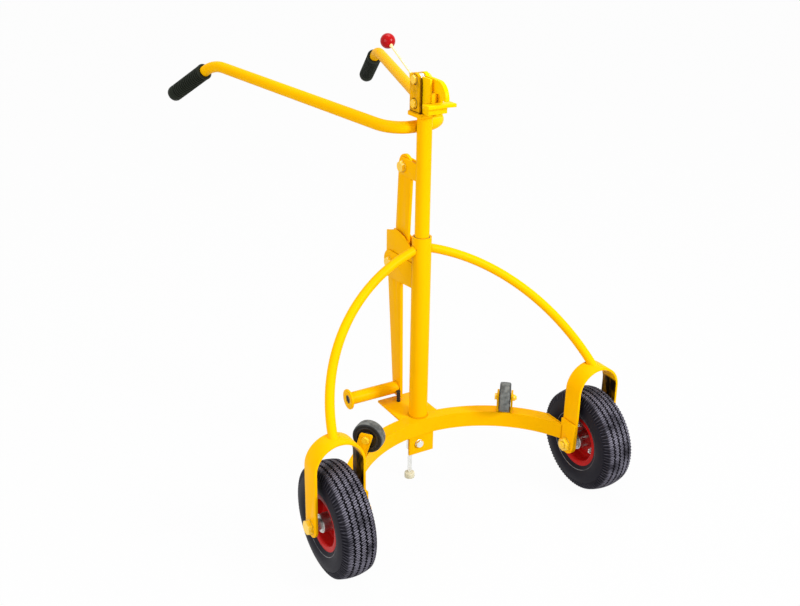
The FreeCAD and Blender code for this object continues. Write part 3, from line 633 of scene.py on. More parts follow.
class Mould:
    """Collects the surfaces of one piece, in metres."""

    def __init__(self) -> None:
        """Start empty."""
        self.points: list[Vector] = []
        self.faces: list[Sequence[int]] = []

    def skin(self, loops: Sequence[Sequence[Vector]], ring: bool = False) -> None:
        """Join loops of equally many points, and close both ends.

        Args:
            loops: Closed loops, in order.
            ring: Whether the last loop joins the first, which leaves no ends.
        """
        start = len(self.points)
        count = len(loops[0])
        for loop in loops:
            self.points.extend(loop)
        rows = len(loops)
        for row in range(rows if ring else rows - 1):
            here = start + row * count
            there = start + ((row + 1) % rows) * count
            for index in range(count):
                after = (index + 1) % count
                self.faces.append((here + index, here + after, there + after, there + index))
        if not ring:
            for first in (start, start + (rows - 1) * count):
                self.faces.append(tuple(range(first, first + count)))

    def turn(
        self, profile: Profile, origin: Vector, axis: Vector, steps: int, solid: bool = False,
        wave: Optional[Callable[[int, float, float], tuple[float, float]]] = None,
    ) -> None:
        """Turn a profile about an axis.

        Args:
            profile: (along, radius) points in millimetres, a closed outline unless the piece is solid.
            origin: A point on the axis, in metres.
            axis: The axis.
            steps: Facets round the axis.
            solid: Whether the profile runs from end to end of a solid, with both ends capped.
            wave: Moves a profile point at each step, for patterns round the axis.
        """
        along = axis.normalized()
        columns = []
        for step, ray in enumerate(rays(axis, steps)):
            points = [wave(step, *point) for point in profile] if wave else profile
            columns.append([origin + (along * where + ray * radius) * MM for where, radius in points])
        if solid:
            self.skin(list(zip(*columns)))
        else:
            self.skin(columns, ring=True)

    def hexagon(self, origin: Vector, axis: Vector, flats: float, height: float) -> None:
        """A bolt head or nut with its corners turned down.

        Args:
            origin: Middle of the bearing face, in metres.
            axis: From the bearing face outwards.
            flats: Width across flats, in millimetres.
            height: Height, in millimetres.
        """
        facets, sixth = 36, math.pi / 3
        along = axis.normalized()
        corner = flats / math.sqrt(3)
        turned = flats / 2 * 0.985
        rise = (corner - turned) * math.tan(math.radians(30))
        outline = []
        for step, ray in enumerate(rays(axis, facets)):
            fold = (2 * math.pi * step / facets + sixth / 2) % sixth - sixth / 2
            outline.append((ray, flats / 2 / math.cos(fold)))
        levels = ((0.0, turned), (rise * 0.6, corner), (height - rise, corner), (height, turned))
        self.skin([
            [origin + (along * level + ray * min(reach, limit)) * MM for ray, reach in outline]
            for level, limit in levels
        ])

    def thread(self, origin: Vector, axis: Vector, length: float, radius: float, pitch: float) -> None:
        """A threaded end with a chamfer, as stacked crests.

        Args:
            origin: Where it starts, in metres.
            axis: Its direction.
            length: Length in millimetres.
            radius: Outer radius in millimetres.
            pitch: Crest spacing in millimetres.
        """
        neck, root, tip = radius * 0.9, radius * 0.89, radius * 0.74
        profile = [(0.0, neck)]
        turns = max(1, int((length - 1.5) / pitch))
        for turn in range(turns):
            profile += [((turn + 0.5) * pitch, radius), ((turn + 1) * pitch, root)]
        profile += [(length - 1.0, neck), (length, tip)]
        self.turn(profile, origin, axis, 28, solid=True)

    def bead(self, path: Sequence[Vector], radius: float, closed: bool = False) -> None:
        """A weld bead along a path, with the ripples of its passes and thin ends.

        Args:
            path: Points in metres, evenly spaced.
            radius: Mean radius in millimetres.
            closed: Whether the path is a loop.
        """
        ripple, ripple_height, sides = 3.2, 0.16, 10
        thin_end, swell_rate = 0.35, 0.3
        last = len(path) - 1
        loops = []
        run = 0.0
        for index, point in enumerate(path):
            before = path[index - 1] if index or closed else point
            after = path[(index + 1) % len(path)] if index < last or closed else point
            if index:
                run += (point - before).length / MM
            swell = radius * (1 + ripple_height * math.sin(2 * math.pi * run / ripple))
            if not closed:
                swell *= min(1.0, thin_end + min(index, last - index) * swell_rate)
            loops.append([point + ray * (swell * MM) for ray in rays(after - before, sides)])
        self.skin(loops, ring=closed)

    def mesh(self, name: str) -> bpy.types.Mesh:
        """Make the mesh, with its faces turned outwards.

        Args:
            name: The piece's name.

        Returns:
            The mesh.
        """
        mesh = bpy.data.meshes.new(name)
        mesh.from_pydata([tuple(point) for point in self.points], [], self.faces)
        work = bmesh.new()
        work.from_mesh(mesh)
        bmesh.ops.recalc_face_normals(work, faces=work.faces[:])
        work.to_mesh(mesh)
        work.free()
        return mesh


def settle(
    mesh: bpy.types.Mesh, material: bpy.types.Material, body: Body,
    node: Optional[str] = None, crease: float = CREASE,
) -> None:
    """Make a piece of a mesh, shade it, give it its finish and set it on its body.

    Args:
        mesh: The mesh, in place and with the piece's name.
        material: The finish.
        body: The body it rides on.
        node: The node that it replaces, if any.
        crease: Angle in degrees above which an edge is sharp.
    """
    piece = bpy.data.objects.new(mesh.name, mesh)
    bpy.context.scene.collection.objects.link(piece)
    mesh.materials.clear()
    mesh.materials.append(material)
    mesh.shade_smooth()
    mesh.set_sharp_from_angle(angle=math.radians(crease))
    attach(piece, body.value)
    if node:
        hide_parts(node)
    LOG.info("%s rides on %s", piece.name, body.value)


# Sub-assemblies


@dataclass
class Wheel:
    """One road wheel: treaded tyre, two-piece rim, rim bolts, hub and bearings."""

    palette: Palette
    side: Side
    tyre_radius: float = 130.0
    tread_half: float = 32.6
    crown: float = 5.0
    zigzags: int = 96
    zigzag: float = 1.9
    swings: tuple[float, ...] = (0.0, 0.67, 1.0, 0.0, -0.67, -1.0)
    outer_rib: float = 6.0
    groove_places: tuple[float, ...] = (21.0, 7.0)
    groove_top: float = 2.5
    groove_floor: float = 1.5
    groove_depth: float = 4.6
    tooth_depth: float = 2.4
    teeth: Range = (109.0, 123.0)
    ring_radius: float = 75.0
    disc_half: float = 3.2
    bolt_circle: float = 36.5
    bolt_count: int = 4
    bolt_radius: float = 4.0
    bolt_flats: float = 13.0
    head_height: float = 5.2
    thread_from: float = 9.5
    washer: float = 1.4
    washer_radius: float = 7.6

    @property
    def centre(self) -> Vector:
        """The wheel's middle."""
        return middle(self.side.word + "_rim")

    def fit(
        self, mould: Mould, name: str, material: bpy.types.Material, node: str,
        crease: float = CREASE,
    ) -> None:
        """Settle a piece on the wheel, with the side's word before its names."""
        word = self.side.word + "_"
        settle(mould.mesh(word + name), material, Body(word + "wheel"), word + node, crease)

    def tread(self, x: float) -> float:
        """Radius of the tread at a place across it."""
        return self.tyre_radius - self.crown * (x / self.tread_half) ** 2

    def section(self) -> Profile:
        """The tyre's closed section, from one bead over the tread to the other and back inside.

        Returns:
            (across, radius) points in millimetres.
        """
        half = [
            (30.4, 56.0), (33.8, 67.8), (36.2, 71.0), (38.2, 74.2), (39.4, 76.6), (41.0, 81.5), (42.1, 86.5),
            (42.4, 91.5), (42.0, 97.5), (40.9, 104.0), (40.1, 107.5), (39.0, 111.0), (37.2, 116.0),
            (35.2, 120.5), (33.6, 123.6), (self.tread_half, self.tread(self.tread_half)),
        ]
        groove = (
            (self.groove_top, 0.0), (self.groove_floor, self.groove_depth),
            (-self.groove_floor, self.groove_depth), (-self.groove_top, 0.0),
        )
        for place in self.groove_places:
            half += [(place + offset, self.tread(place + offset) - sunk) for offset, sunk in groove]
        inside = [(25.0, 57.0), (33.5, 86.0), (30.0, 108.0), (16.0, 117.0)]
        return mirrored(half) + mirrored(inside)[::-1]

    def pattern(self, step: int, x: float, radius: float) -> tuple[float, float]:
        """Zigzag ribs on the tread and teeth on the shoulders.

        Args:
            step: Number of the facet round the wheel.
            x: Place across the tyre.
            radius: Radius there.

        Returns:
            The moved place and radius.
        """
        phase = step % len(self.swings)
        inner = abs(x) < self.tread_half - self.outer_rib
        if inner and radius > self.tread(x) - self.groove_depth - 1:
            swung = x + self.swings[phase] * self.zigzag
            return swung, self.tread(swung) - (self.tread(x) - radius)
        notch = (phase < len(self.swings) / 2) == (x > 0)
        start, full = self.teeth
        if notch and radius > start and not inner:
            sink = self.tooth_depth * (1.0 if radius < full else 0.5)
            return x - math.copysign(sink, x), radius - sink * 0.6
        return x, radius

    def rim_half(self) -> Profile:
        """Closed section of one pressed rim half, on the positive side."""
        return [
            (0.1, 21.05), (2.6, 21.05), (self.disc_half, 21.8), (self.disc_half, 46.5), (3.9, 49.2),
            (5.8, 51.2), (8.5, 52.0), (27.5, 52.0), (30.6, 52.8), (32.6, 54.8), (33.2, 57.5), (33.2, 65.2),
            (32.6, 66.7), (31.4, 67.0), (30.5, 66.2), (30.2, 64.0), (30.2, 57.5), (29.4, 55.6), (27.5, 55.0),
            (9.0, 55.0), (3.4, 54.0), (0.9, 51.4), (0.1, 48.0),
        ]

    def build_tyre(self) -> None:
        """Make the treaded tyre."""
        centre = self.centre
        name = self.side.word + "_tyre_rubber"
        rubber = TyreRubber(name, centre.y, centre.z, self.ring_radius * MM).make()
        tyre = Mould()
        tyre.turn(self.section(), centre, ACROSS, self.zigzags * len(self.swings), wave=self.pattern)
        self.fit(tyre, "tyre_treaded", rubber, "tyre", 32.0)

    def build_bolts(self) -> None:
        """Make the bolts through the rim's halves, with washers, heads, nuts and threaded ends."""
        bolts = Mould()
        inwards = ACROSS * -self.side.value
        washer = mirrored([(self.washer / 2, self.washer_radius), (self.washer / 2, self.bolt_radius)])
        for index in range(self.bolt_count):
            turn = 2 * math.pi * (index + 0.5) / self.bolt_count
            spot = self.centre + Vector((0, math.cos(turn), math.sin(turn))) * (self.bolt_circle * MM)
            for way in (ACROSS, -ACROSS):
                face = spot + way * (self.disc_half * MM)
                bolts.turn(washer, face + way * (self.washer / 2 * MM), way, 32)
                bolts.hexagon(face + way * (self.washer * MM), way, self.bolt_flats, self.head_height)
            bolts.thread(spot + inwards * (self.thread_from * MM), inwards, 4.0, 3.9, 1.25)
        self.fit(bolts, "rim_bolts_hex", self.palette.zinc, "rim_bolts")

    def build(self) -> None:
        """Make every piece of the wheel."""
        self.build_tyre()
        rim = Mould()
        shields = Mould()
        shield = [
            (27.0, 10.1), (38.9, 10.1), (38.9, 11.9), (38.3, 12.3), (38.3, 15.6), (38.9, 16.0), (38.9, 17.4),
            (27.0, 17.4),
        ]
        for way in (ACROSS, -ACROSS):
            rim.turn(self.rim_half(), self.centre, way, 96)
            shields.turn(shield, self.centre, way, 64)
        self.fit(rim, "rim_pressed", self.palette.red, "rim", 50.0)
        self.build_bolts()
        hub = Mould()
        hub.turn(mirrored([(38.2, 17.6), (39.0, 18.4), (39.0, 20.2), (38.2, 21.0)]), self.centre, ACROSS, 72)
        self.fit(hub, "hub_turned", self.palette.zinc, "hub")
        self.fit(shields, "bearing_shields", self.palette.zinc, "bearings")


@dataclass
class GuideRoller:
    """One guide roller: grey tread with eased edges on a black core."""

    palette: Palette
    side: Side
    outer: float = 37.5
    core: float = 28.0
    half: float = 13.75

    def build(self) -> None:
        """Make the tread and the core."""
        word = self.side.word + "_roller"
        axis = roller_axis(self.side)
        centre = middle(word + "_tread")
        rubber = RollerRubber(word + "_rubber", tuple(axis)).make()
        half, outer, inner = self.half, self.outer, self.core
        tread = Mould()
        tread_half = [
            (half - 2.2, inner), (half - 0.6, inner + 1.2), (half, inner + 3.0), (half, outer - 4.5),
            (half - 0.8, outer - 2.0), (half - 2.8, outer - 0.5), (5.0, outer),
        ]
        tread.turn(mirrored(tread_half), centre, axis, 96)
        settle(tread.mesh(word + "_tyre"), rubber, Body(word), word + "_tread")
        face, boss = half - 0.4, half + 0.7
        core = Mould()
        core_half = [
            (boss, 6.1), (boss, 11.0), (boss - 0.6, 11.6), (9.6, 12.6), (8.8, 13.6), (8.8, 22.2), (9.6, 23.4),
            (face - 0.4, 24.2), (face, 25.0), (face, 27.2), (face - 0.6, 27.9),
        ]
        core.turn(mirrored(core_half), centre, axis, 72)
        settle(core.mesh(word + "_disc"), self.palette.core, Body(word), word + "_core")


@dataclass
class Grips:
    """Ribbed rubber grips on the handlebar's ends."""

    palette: Palette
    knee: Place = (243.1, 997.4, 955.4)
    end: Place = (299.5, 1166.9, 852.3)
    length: float = 160.0
    ribs: int = 15
    first_rib: float = 10.0
    rib_pitch: float = 8.8

    def profile(self) -> Profile:
        """A grip's closed section: collar, ribs and rounded end.

        Returns:
            (along, radius) points in millimetres.
        """
        collar = [(0.0, 14.1), (0.0, 19.6), (0.8, 21.0), (2.2, 21.6), (5.8, 21.6), (7.4, 21.0), (8.2, 19.6)]
        rib = [(0.0, 19.2), (0.5, 20.4), (1.3, 21.1), (2.9, 21.1), (3.7, 20.4), (4.2, 19.2)]
        end = [
            (144.5, 19.6), (146.0, 20.8), (148.0, 21.2), (157.0, 21.0), (161.6, 19.6), (163.9, 17.0),
            (165.0, 13.0), (165.0, 4.0), (161.0, 3.6), (160.5, 14.1),
        ]
        bases = (self.first_rib + index * self.rib_pitch for index in range(self.ribs))
        return collar + [(base + along, radius) for base in bases for along, radius in rib] + end

    def build(self) -> None:
        """Make both grips."""
        for side in Side:
            knee, end = (Vector((x * side.value, y, z)) * MM for x, y, z in (self.knee, self.end))
            way = (end - knee).normalized()
            grip = Mould()
            grip.turn(self.profile(), end - way * (self.length * MM), way, 72)
            node = side.word + "_grip"
            settle(grip.mesh(node + "_ribbed"), self.palette.grip, Body.MAST, node, 60.0)


@dataclass
class ReleaseKnob:
    """The red ball on the beak's release rod, and the rod itself."""

    palette: Palette
    tail: Place = (0.0, 398.0, 1007.5)
    ball: Place = (0.0, 513.0, 1068.5)
    ball_radius: float = 17.5
    ball_steps: int = 28
    ball_sweep: Range = (-68.0, 90.0)
    parting_line: float = 0.12
    rod_radius: float = 2.5

    def build(self) -> None:
        """Make the ball with its flat and parting line, and the rod with its collar."""
        tail, ball = Vector(self.tail) * MM, Vector(self.ball) * MM
        way = (ball - tail).normalized()
        flat = self.ball_radius * 0.93
        profile = [(-flat, 4.2), (-flat, 6.3)]
        first, last = self.ball_sweep
        for step in range(self.ball_steps):
            degrees = first + step * (last - first) / self.ball_steps
            radius = self.ball_radius + (self.parting_line if abs(degrees) < 3 else 0.0)
            turn = math.radians(degrees)
            profile.append((radius * math.sin(turn), radius * math.cos(turn)))
        profile.append((self.ball_radius, 0.05))
        knob = Mould()
        knob.turn(profile, ball, way, 64, solid=True)
        settle(knob.mesh("ball_knob_turned"), self.palette.ball, Body.JAW, "ball_knob", 70.0)
        seat = (ball - tail).length / MM - flat
        rod = Mould()
        rod_profile = [
            (4.0, 2.2), (6.0, self.rod_radius), (9.0, self.rod_radius), (9.4, 4.4), (12.4, 4.4),
            (12.8, self.rod_radius), (seat - 7.0, self.rod_radius), (seat - 5.0, 3.4), (seat - 1.0, 4.6),
            (seat, 4.4), (seat + 3.0, 2.4),
        ]
        rod.turn(rod_profile, tail, way, 32, solid=True)
        node = "release_rod"
        settle(rod.mesh(node + "_collared"), self.palette.pale_steel, Body.JAW, node)


@dataclass
class Bolt:
    """One hexagon bolt with washers and nut."""

    node: str
    body: Body
    centre: Place
    axis: Vector
    half_grip: float
    radius: float
    flats: float
    height: float
    washer: float = 1.6

    def add_to(self, mould: Mould) -> None:
        """Add the bolt's surfaces to a piece.

        Args:
            mould: The piece.
        """
        centre = Vector(self.centre) * MM
        ring = self.flats * 0.56
        washer = [
            (0, self.radius), (0, ring), (self.washer - 0.4, ring), (self.washer, ring - 0.5),
            (self.washer, self.radius),
        ]
        for out in (self.axis, -self.axis):
            face = centre + out * (self.half_grip * MM)
            mould.turn(washer, face, out, 48)
            mould.hexagon(face + out * (self.washer * MM), out, self.flats, self.height)
        shank = self.radius * 0.98
        mould.turn([(-self.half_grip, shank), (self.half_grip, shank)], centre, self.axis, 32, solid=True)
        tip = centre + self.axis * ((self.half_grip + self.washer + self.height - 0.5) * MM)
        pitch = max(1.25, self.radius * 0.22)
        mould.thread(tip, self.axis, self.radius * 0.5 + 1.0, self.radius * 0.97, pitch)


@dataclass
class Fasteners:
    """All bolts of the trolley outside the wheels."""

    palette: Palette
    roller_circle: float = 313.3
    roller_height: float = 218.7
    axle: Place = (349.0, 107.0, 130.0)

    def bolts(self) -> list[Bolt]:
        """The bolts' places and sizes, in millimetres.

        Returns:
            One entry for each bolt.
        """
        mast, fixed = Body.MAST, Body.FRAME
        found = [
            Bolt("lever_pivot_bolt", fixed, (0, 467, 545), ACROSS, 15.4, 8, 24, 8.5),
            Bolt("link_bolt", mast, (0, 421, 797), ACROSS, 9, 8, 24, 8.5),
            Bolt("head_bolts", mast, (-8.6, 349, 1012), ACROSS, 16.4, 6, 18, 4.8, 1.0),
            Bolt("head_bolts", mast, (0, 349, 959), ACROSS, 25, 6, 18, 4.8, 1.0),
            Bolt("leg_bolt", fixed, (-8, 331, 103), BACK, 6, 6, 18, 6.5),
        ]
        for side in Side:
            axis = roller_axis(side)
            spot = (-axis.y * self.roller_circle, axis.x * self.roller_circle, self.roller_height)
            found.append(Bolt("roller_bolts", fixed, spot, axis, 19.75, 6, 16, 5.0, 1.0))
            x, y, z = self.axle
            spot, inwards = (x * side.value, y, z), ACROSS * -side.value
            found.append(Bolt(side.word + "_axle", fixed, spot, inwards, 64, 10, 30, 10.5, 1.5))
        return found

    def build(self) -> None:
        """Make one piece for each bolt node."""
        groups: dict[str, list[Bolt]] = {}
        for bolt in self.bolts():
            groups.setdefault(bolt.node, []).append(bolt)
        for node, bolts in groups.items():
            mould = Mould()
            for bolt in bolts:
                bolt.add_to(mould)
            finish = self.palette.white_zinc if node == "leg_bolt" else self.palette.bolts
            settle(mould.mesh(node + "_hex"), finish, bolts[0].body, node)


@dataclass
class EasedNodes:
    """Cut plates and bars, shown with eased edges."""

    palette: Palette
    width: float = 0.9
    leg_width: float = 0.6
    foot_width: float = 0.8
    merge: float = 2e-6
    flat_angle: float = 0.6
    sharp_angle: float = 40.0

    def ease(self, node: str, material: bpy.types.Material, width: float) -> None:
        """Show a node as a copy with rounded edges.

        Args:
            node: The node's name.
            material: Its finish.
            width: Edge rounding in millimetres.
        """
        source = frame["nodes"][node]
        mesh = source.data.copy()
        mesh.name = node + "_eased"
        work = bmesh.new()
        work.from_mesh(mesh)
        bmesh.ops.remove_doubles(work, verts=work.verts[:], dist=self.merge)
        flat = math.radians(self.flat_angle)
        bmesh.ops.dissolve_limit(
            work, angle_limit=flat, verts=work.verts[:], edges=work.edges[:], delimit=set()
        )
        sharp = [
            edge
            for edge in work.edges
            if len(edge.link_faces) == 2 and edge.calc_face_angle(0.0) > math.radians(self.sharp_angle)
        ]
        bmesh.ops.bevel(
            work, geom=sharp, offset=width * MM, offset_type="OFFSET", segments=2, profile=0.5,
            affect="EDGES", clamp_overlap=True,
        )
        work.to_mesh(mesh)
        work.free()
        for name in [attribute.name for attribute in mesh.attributes if "normal" in attribute.name]:
            mesh.attributes.remove(mesh.attributes[name])
        settle(mesh, material, Body(source["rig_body"]), node, 30.0)

    def build(self) -> None:
        """Ease every plate and bar."""
        plates = (
            "gusset_plate", "crank_guards", "pivot_cheeks", "left_roller_bracket", "right_roller_bracket",
            "front_plate", "pedal_lever", "crank", "lift_link", "link_ears", "head_base", "pedal_flange",
            "cradle_end_caps",
        )
        painted = [(node, self.palette.yellow) for node in plates]
        # The jaw's pieces take the lighter copy of the yellow, painted light.
        painted += [(node, self.palette.jaw) for node in ("jaw_plates", "jaw_block", "jaw_lip", "beak")]
        # The head's sides take the darker copy of the yellow, painted shade.
        painted.append(("head_sides", self.palette.shaded_head))
        # The forks' enamels carry the painted shadow of their tyres.
        painted += [(side.word + "_fork", self.palette.forks[side]) for side in Side]
        for node, enamel in painted:
            self.ease(node, enamel, self.width)
        self.ease("parking_leg", self.palette.white_zinc, self.leg_width)
        self.ease("leg_foot", self.palette.pale, self.foot_width)


@dataclass
class PaintedNodes:
    """Nodes whose shape is right as it is, with their finish."""

    palette: Palette

    def build(self) -> None:
        """Give each node its finish."""
        tubes = (
            "cradle_arc", "outer_sleeve", "left_stay", "right_stay", "inner_mast", "handlebar", "pedal_tube",
        )
        dress = {
            self.palette.yellow: tubes,
            self.palette.zinc: ("head_spacers", "beak_spring", "axle_spacers"),
            self.palette.guide: ("upper_guide_bush", "mast_guide"),
        }
        for material, nodes in dress.items():
            for node in nodes:
                mesh = frame["nodes"][node].data
                mesh.materials.clear()
                mesh.materials.append(material)
                LOG.info("%s keeps its shape", node)


@dataclass
class LeverStop:
    """The ribbed rubber stop that the foot lever rests against."""

    palette: Palette
    ribs: int = 5
    outer: float = 5.0
    inner: float = 3.8
    height: float = 31.0

    def build(self) -> None:
        """Make the stop with rounded ribs."""
        node = "lever_stop"
        low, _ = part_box(node)
        centre = middle(node)
        pitch = self.height / self.ribs
        profile = [(0.0, self.outer - 0.6)]
        for rib in range(self.ribs):
            base = rib * pitch
            profile += [
                (base + 0.5, self.outer - 0.2), (base + 1.4, self.outer), (base + pitch - 2.6, self.outer),
                (base + pitch - 1.9, self.outer - 0.4), (base + pitch - 1.5, self.inner),
                (base + pitch - 0.3, self.inner),
            ]
        profile[-2:] = [(self.height - 1.2, self.outer - 0.6), (self.height, self.outer - 1.8)]
        stop = Mould()
        stop.turn(profile, Vector((centre.x, centre.y, low.z)), UP, 48, solid=True)
        settle(stop.mesh(node + "_ribbed"), self.palette.buffer, Body.FRAME, node, 50.0)


@dataclass
class PedalPlug:
    """The dished plug in the end of the pedal tube."""

    palette: Palette
    radius: float = 10.8
    depth: float = 3.4

    def build(self) -> None:
        """Make the plug."""
        _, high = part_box("pedal_flange")
        centre = middle("pedal_flange")
        rim, dish = self.radius * 0.66, self.depth * 0.55
        profile = [
            (0.0, self.radius), (self.depth - 0.5, self.radius), (self.depth, self.radius - 0.6),
            (self.depth, rim), (dish, rim - 0.8), (dish, 0.05),
        ]
        plug = Mould()
        plug.turn(profile, Vector((high.x, centre.y, centre.z)), -ACROSS, 48, solid=True)
        settle(plug.mesh("pedal_plug"), self.palette.core, Body.LEVER)


@dataclass
class Welds:
    """Painted weld beads where tubes and plates meet, straight ones given by their two ends."""

    palette: Palette
    sleeve: float = 23.0
    sleeve_foot: float = 174.4
    mast: float = 17.5
    mast_y: float = 345.0
    mast_top: float = 930.6
    cheek_x: float = 15.6
    cheek_z: Range = (516.0, 574.0)
    ear_x: float = 9.2
    ear_z: Range = (776.0, 815.0)
    stay: float = 10.7
    stay_root: Place = (23.0, 345.0, 615.0)
    stay_way: Place = (0.957, -0.086, -0.277)
    cap_side: Line = ((284.8, 127.9, 135.0), (284.8, 127.9, 173.0))
    cap_top: Line = ((284.9, 131.0, 174.2), (284.9, 194.0, 174.2))
    gusset_edge: Line = ((54.3, 344.5, 174.3), (54.3, 346.5, 174.3))
    front_plate: Line = ((-34.0, 324.8, 133.8), (34.0, 324.8, 133.8))
    head_side: Line = ((25.2, 329.0, 939.3), (25.2, 369.0, 939.3))
    lip: Line = ((-35.0, 298.8, 968.2), (-19.6, 298.8, 968.2))
    spacing: float = 0.9
    crease: float = 80.0

    def straight(self, line: Line, sign: int = 1) -> list[Vector]:
        """Points along a line, evenly spaced.

        Args:
            line: Its two ends.
            sign: Minus one for its mirror image on the other side.

        Returns:
            The points, in metres.
        """
        start, end = (Vector((x * sign, y, z)) for x, y, z in line)
        count = max(6, int((end - start).length / self.spacing))
        return [(start + (end - start) * (step / count)) * MM for step in range(count + 1)]

    def upright(self, x: float, heights: Range, radius: float) -> list[Vector]:
        """Points up a line where a plate at a place on X meets a tube of the mast, in metres."""
        y = self.mast_y + math.sqrt(radius * radius - x * x) + 0.4
        return self.straight(tuple((x, y, z) for z in heights))

    def round_mast(self, z: float, radius: float, steps: int) -> list[Vector]:
        """Points round the mast at a height, in metres."""
        centre = Vector((0, self.mast_y, z))
        return [(centre + ray * radius) * MM for ray in rays(UP, steps)]

    def saddle(self, start: Vector, way: Vector, radius: float) -> list[Vector]:
        """Where a round tube meets the sleeve.

        Args:
            start: A point on the tube's axis.
            way: The tube's direction, towards the sleeve.
            radius: The tube's radius.

        Returns:
            The points, in metres.
        """
        along = way.normalized()
        heading = along.to_2d()
        points = []
        for ray in rays(way, 72):
            spot = start + ray * radius
            flat = Vector((spot.x, spot.y - self.mast_y))
            a, b = heading.dot(heading), flat.dot(heading)
            c = flat.dot(flat) - self.sleeve**2
            reach = (-b - math.sqrt(max(b * b - a * c, 0.0))) / a
            points.append((spot + along * reach) * MM)
        return points

    def build(self) -> None:
        """Lay every bead."""
        fixed = Mould()
        lifting = Mould()
        fixed.bead(self.round_mast(self.sleeve_foot, self.sleeve + 0.6, 160), 2.0, True)
        lifting.bead(self.round_mast(self.mast_top, self.mast + 0.5, 128), 1.7, True)
        for sign in (side.value for side in Side):
            root, way = (Vector((x * sign, y, z)) for x, y, z in (self.stay_root, self.stay_way))
            fixed.bead(self.upright(self.cheek_x * sign, self.cheek_z, self.sleeve), 1.5)
            fixed.bead(self.saddle(root + way * 45, -way, self.stay), 1.7, True)
            fixed.bead(self.straight(self.cap_side, sign), 1.5)
            fixed.bead(self.straight(self.cap_top, sign), 1.3)
            fixed.bead(self.straight(self.gusset_edge, sign), 0.6)
            lifting.bead(self.upright(self.ear_x * sign, self.ear_z, self.mast), 1.3)
            lifting.bead(self.straight(self.head_side, sign), 1.3)
        fixed.bead(self.straight(self.front_plate), 1.6)
        lifting.bead(self.straight(self.lip), 1.2)
        for name, mould, body in (("frame_welds", fixed, Body.FRAME), ("mast_welds", lifting, Body.MAST)):
            settle(mould.mesh(name), self.palette.weld, body, crease=self.crease)


# Studio


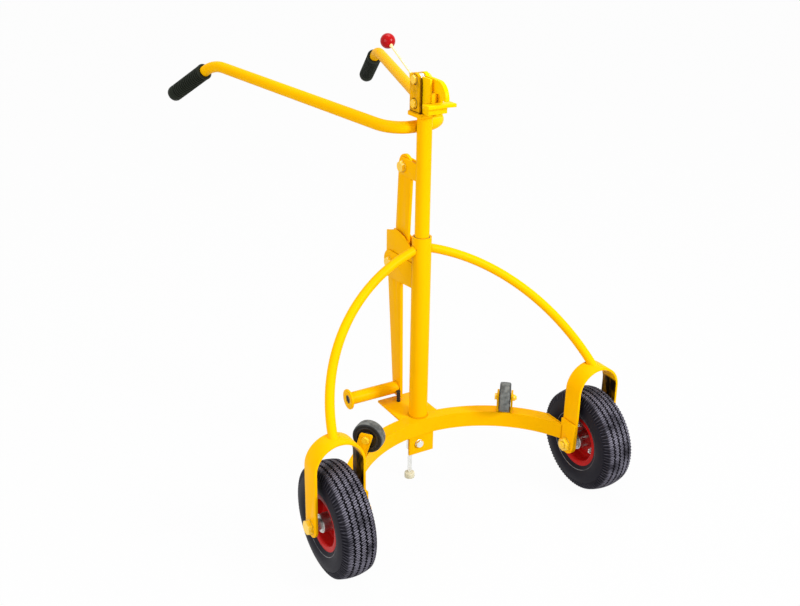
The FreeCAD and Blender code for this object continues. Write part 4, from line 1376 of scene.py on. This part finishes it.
@dataclass
class Studio:
    """Floor, white surround, the camera and lamps, each with its name, place, edge length and watts."""

    place: Place = (-1.1763, -1.5455, 1.4461)
    azimuth: float = 30.63
    elevation: float = 23.52
    roll: float = 0.83
    focal_px: float = 1015.0
    image_width: float = 800.0
    sensor: float = 36.0
    floor_half: float = 40.0
    floor_level: float = -0.0006
    floor_grey: float = 0.55
    floor_white: float = 0.97
    soft_light: float = 0.6
    aim: Place = (0.0, 0.35, 0.5)
    lamps: tuple[tuple[str, Place, float, float], ...] = (
        ("key_lamp", (1.7, -2.8, 2.2), 1.0, 125.0),
        ("fill_lamp", (-3.0, -0.6, 1.6), 2.0, 44.0),
        ("top_lamp", (0.4, 0.6, 3.4), 1.6, 42.0),
    )

    def camera(self) -> None:
        """Set the camera where the photograph was taken from."""
        data = bpy.data.cameras.new("camera")
        data.sensor_fit = "HORIZONTAL"
        data.sensor_width = self.sensor
        data.lens = self.focal_px / self.image_width * self.sensor
        data.clip_end = 50.0
        camera = bpy.data.objects.new("camera", data)
        matrix = Matrix.Translation(self.place)
        for angle, axis in ((-self.azimuth, "Z"), (90 - self.elevation, "X"), (self.roll, "Z")):
            matrix = matrix @ Matrix.Rotation(math.radians(angle), 4, axis)
        camera.matrix_world = matrix
        bpy.context.scene.collection.objects.link(camera)
        bpy.context.scene.camera = camera

    @staticmethod
    def show_white(graph: ShaderGraph, white: str, soft: bpy.types.Node, share: float, output: str) -> None:
        """Close a graph with white for rays that show it, also in metal, and a soft shader for the others.

        Args:
            graph: The floor's or the surround's graph.
            white: The type of the shader that shows white.
            soft: The shader that other rays meet.
            share: Share of white where it shows.
            output: The type of the output node.
        """
        paths = graph.add("ShaderNodeLightPath").outputs
        shown = ("Is Camera Ray", "Is Glossy Ray", "Is Transmission Ray")
        seen = sum(Signal(graph, paths[name]) for name in shown).between(0.0, 1.0) * share
        plain = graph.add(white, None, {"Color": (1, 1, 1, 1), "Strength": 1.0})
        both = graph.add("ShaderNodeMixShader", None, {0: seen, 1: soft.outputs[0], 2: plain.outputs[0]})
        graph.add(output, None, {"Surface": both.outputs[0]})

    def floor(self) -> None:
        """A plain white floor that keeps a faint shadow."""
        mesh = bpy.data.meshes.new("floor")
        signs = ((-1, -1), (1, -1), (1, 1), (-1, 1))
        corners = [(x * self.floor_half, y * self.floor_half, self.floor_level) for x, y in signs]
        mesh.from_pydata(corners, [], [(0, 1, 2, 3)])
        floor = bpy.data.objects.new("floor", mesh)
        bpy.context.scene.collection.objects.link(floor)
        graph = ShaderGraph.named("floor_paper")
        grey = (self.floor_grey, self.floor_grey, self.floor_grey, 1.0)
        paper = graph.add("ShaderNodeBsdfDiffuse", None, {"Color": grey})
        self.show_white(graph, "ShaderNodeEmission", paper, self.floor_white, "ShaderNodeOutputMaterial")
        mesh.materials.append(graph.owner)

    def surround(self) -> None:
        """A white surround that lights softly."""
        world = bpy.data.worlds.new("surround")
        graph = ShaderGraph(world)
        soft = graph.add("ShaderNodeBackground", None, {"Color": (1, 1, 1, 1), "Strength": self.soft_light})
        self.show_white(graph, "ShaderNodeBackground", soft, 1.0, "ShaderNodeOutputWorld")
        bpy.context.scene.world = world

    def light(self) -> None:
        """Hang the soft area lamps, aimed at the middle of the trolley."""
        for name, place, size, power in self.lamps:
            data = bpy.data.lights.new(name, "AREA")
            data.size = size
            data.energy = power
            lamp = bpy.data.objects.new(name, data)
            lamp.location = place
            lamp.rotation_euler = (Vector(self.aim) - Vector(place)).to_track_quat("-Z", "Y").to_euler()
            bpy.context.scene.collection.objects.link(lamp)

    def build(self) -> None:
        """Set up the whole studio."""
        bpy.context.scene.view_settings.view_transform = "Standard"
        self.camera()
        self.floor()
        self.surround()
        self.light()


def main() -> None:
    """Build the trolley's looks and the studio."""
    logging.basicConfig(level=logging.INFO, format="%(name)s: %(message)s")
    palette = Palette()
    Studio().build()
    for side in Side:
        Wheel(palette, side).build()
        GuideRoller(palette, side).build()
    for assembly in (Grips, ReleaseKnob, Fasteners, EasedNodes, PaintedNodes, LeverStop, PedalPlug, Welds):
        assembly(palette).build()
    bpy.context.view_layer.update()


if __name__ == "__main__":
    main()
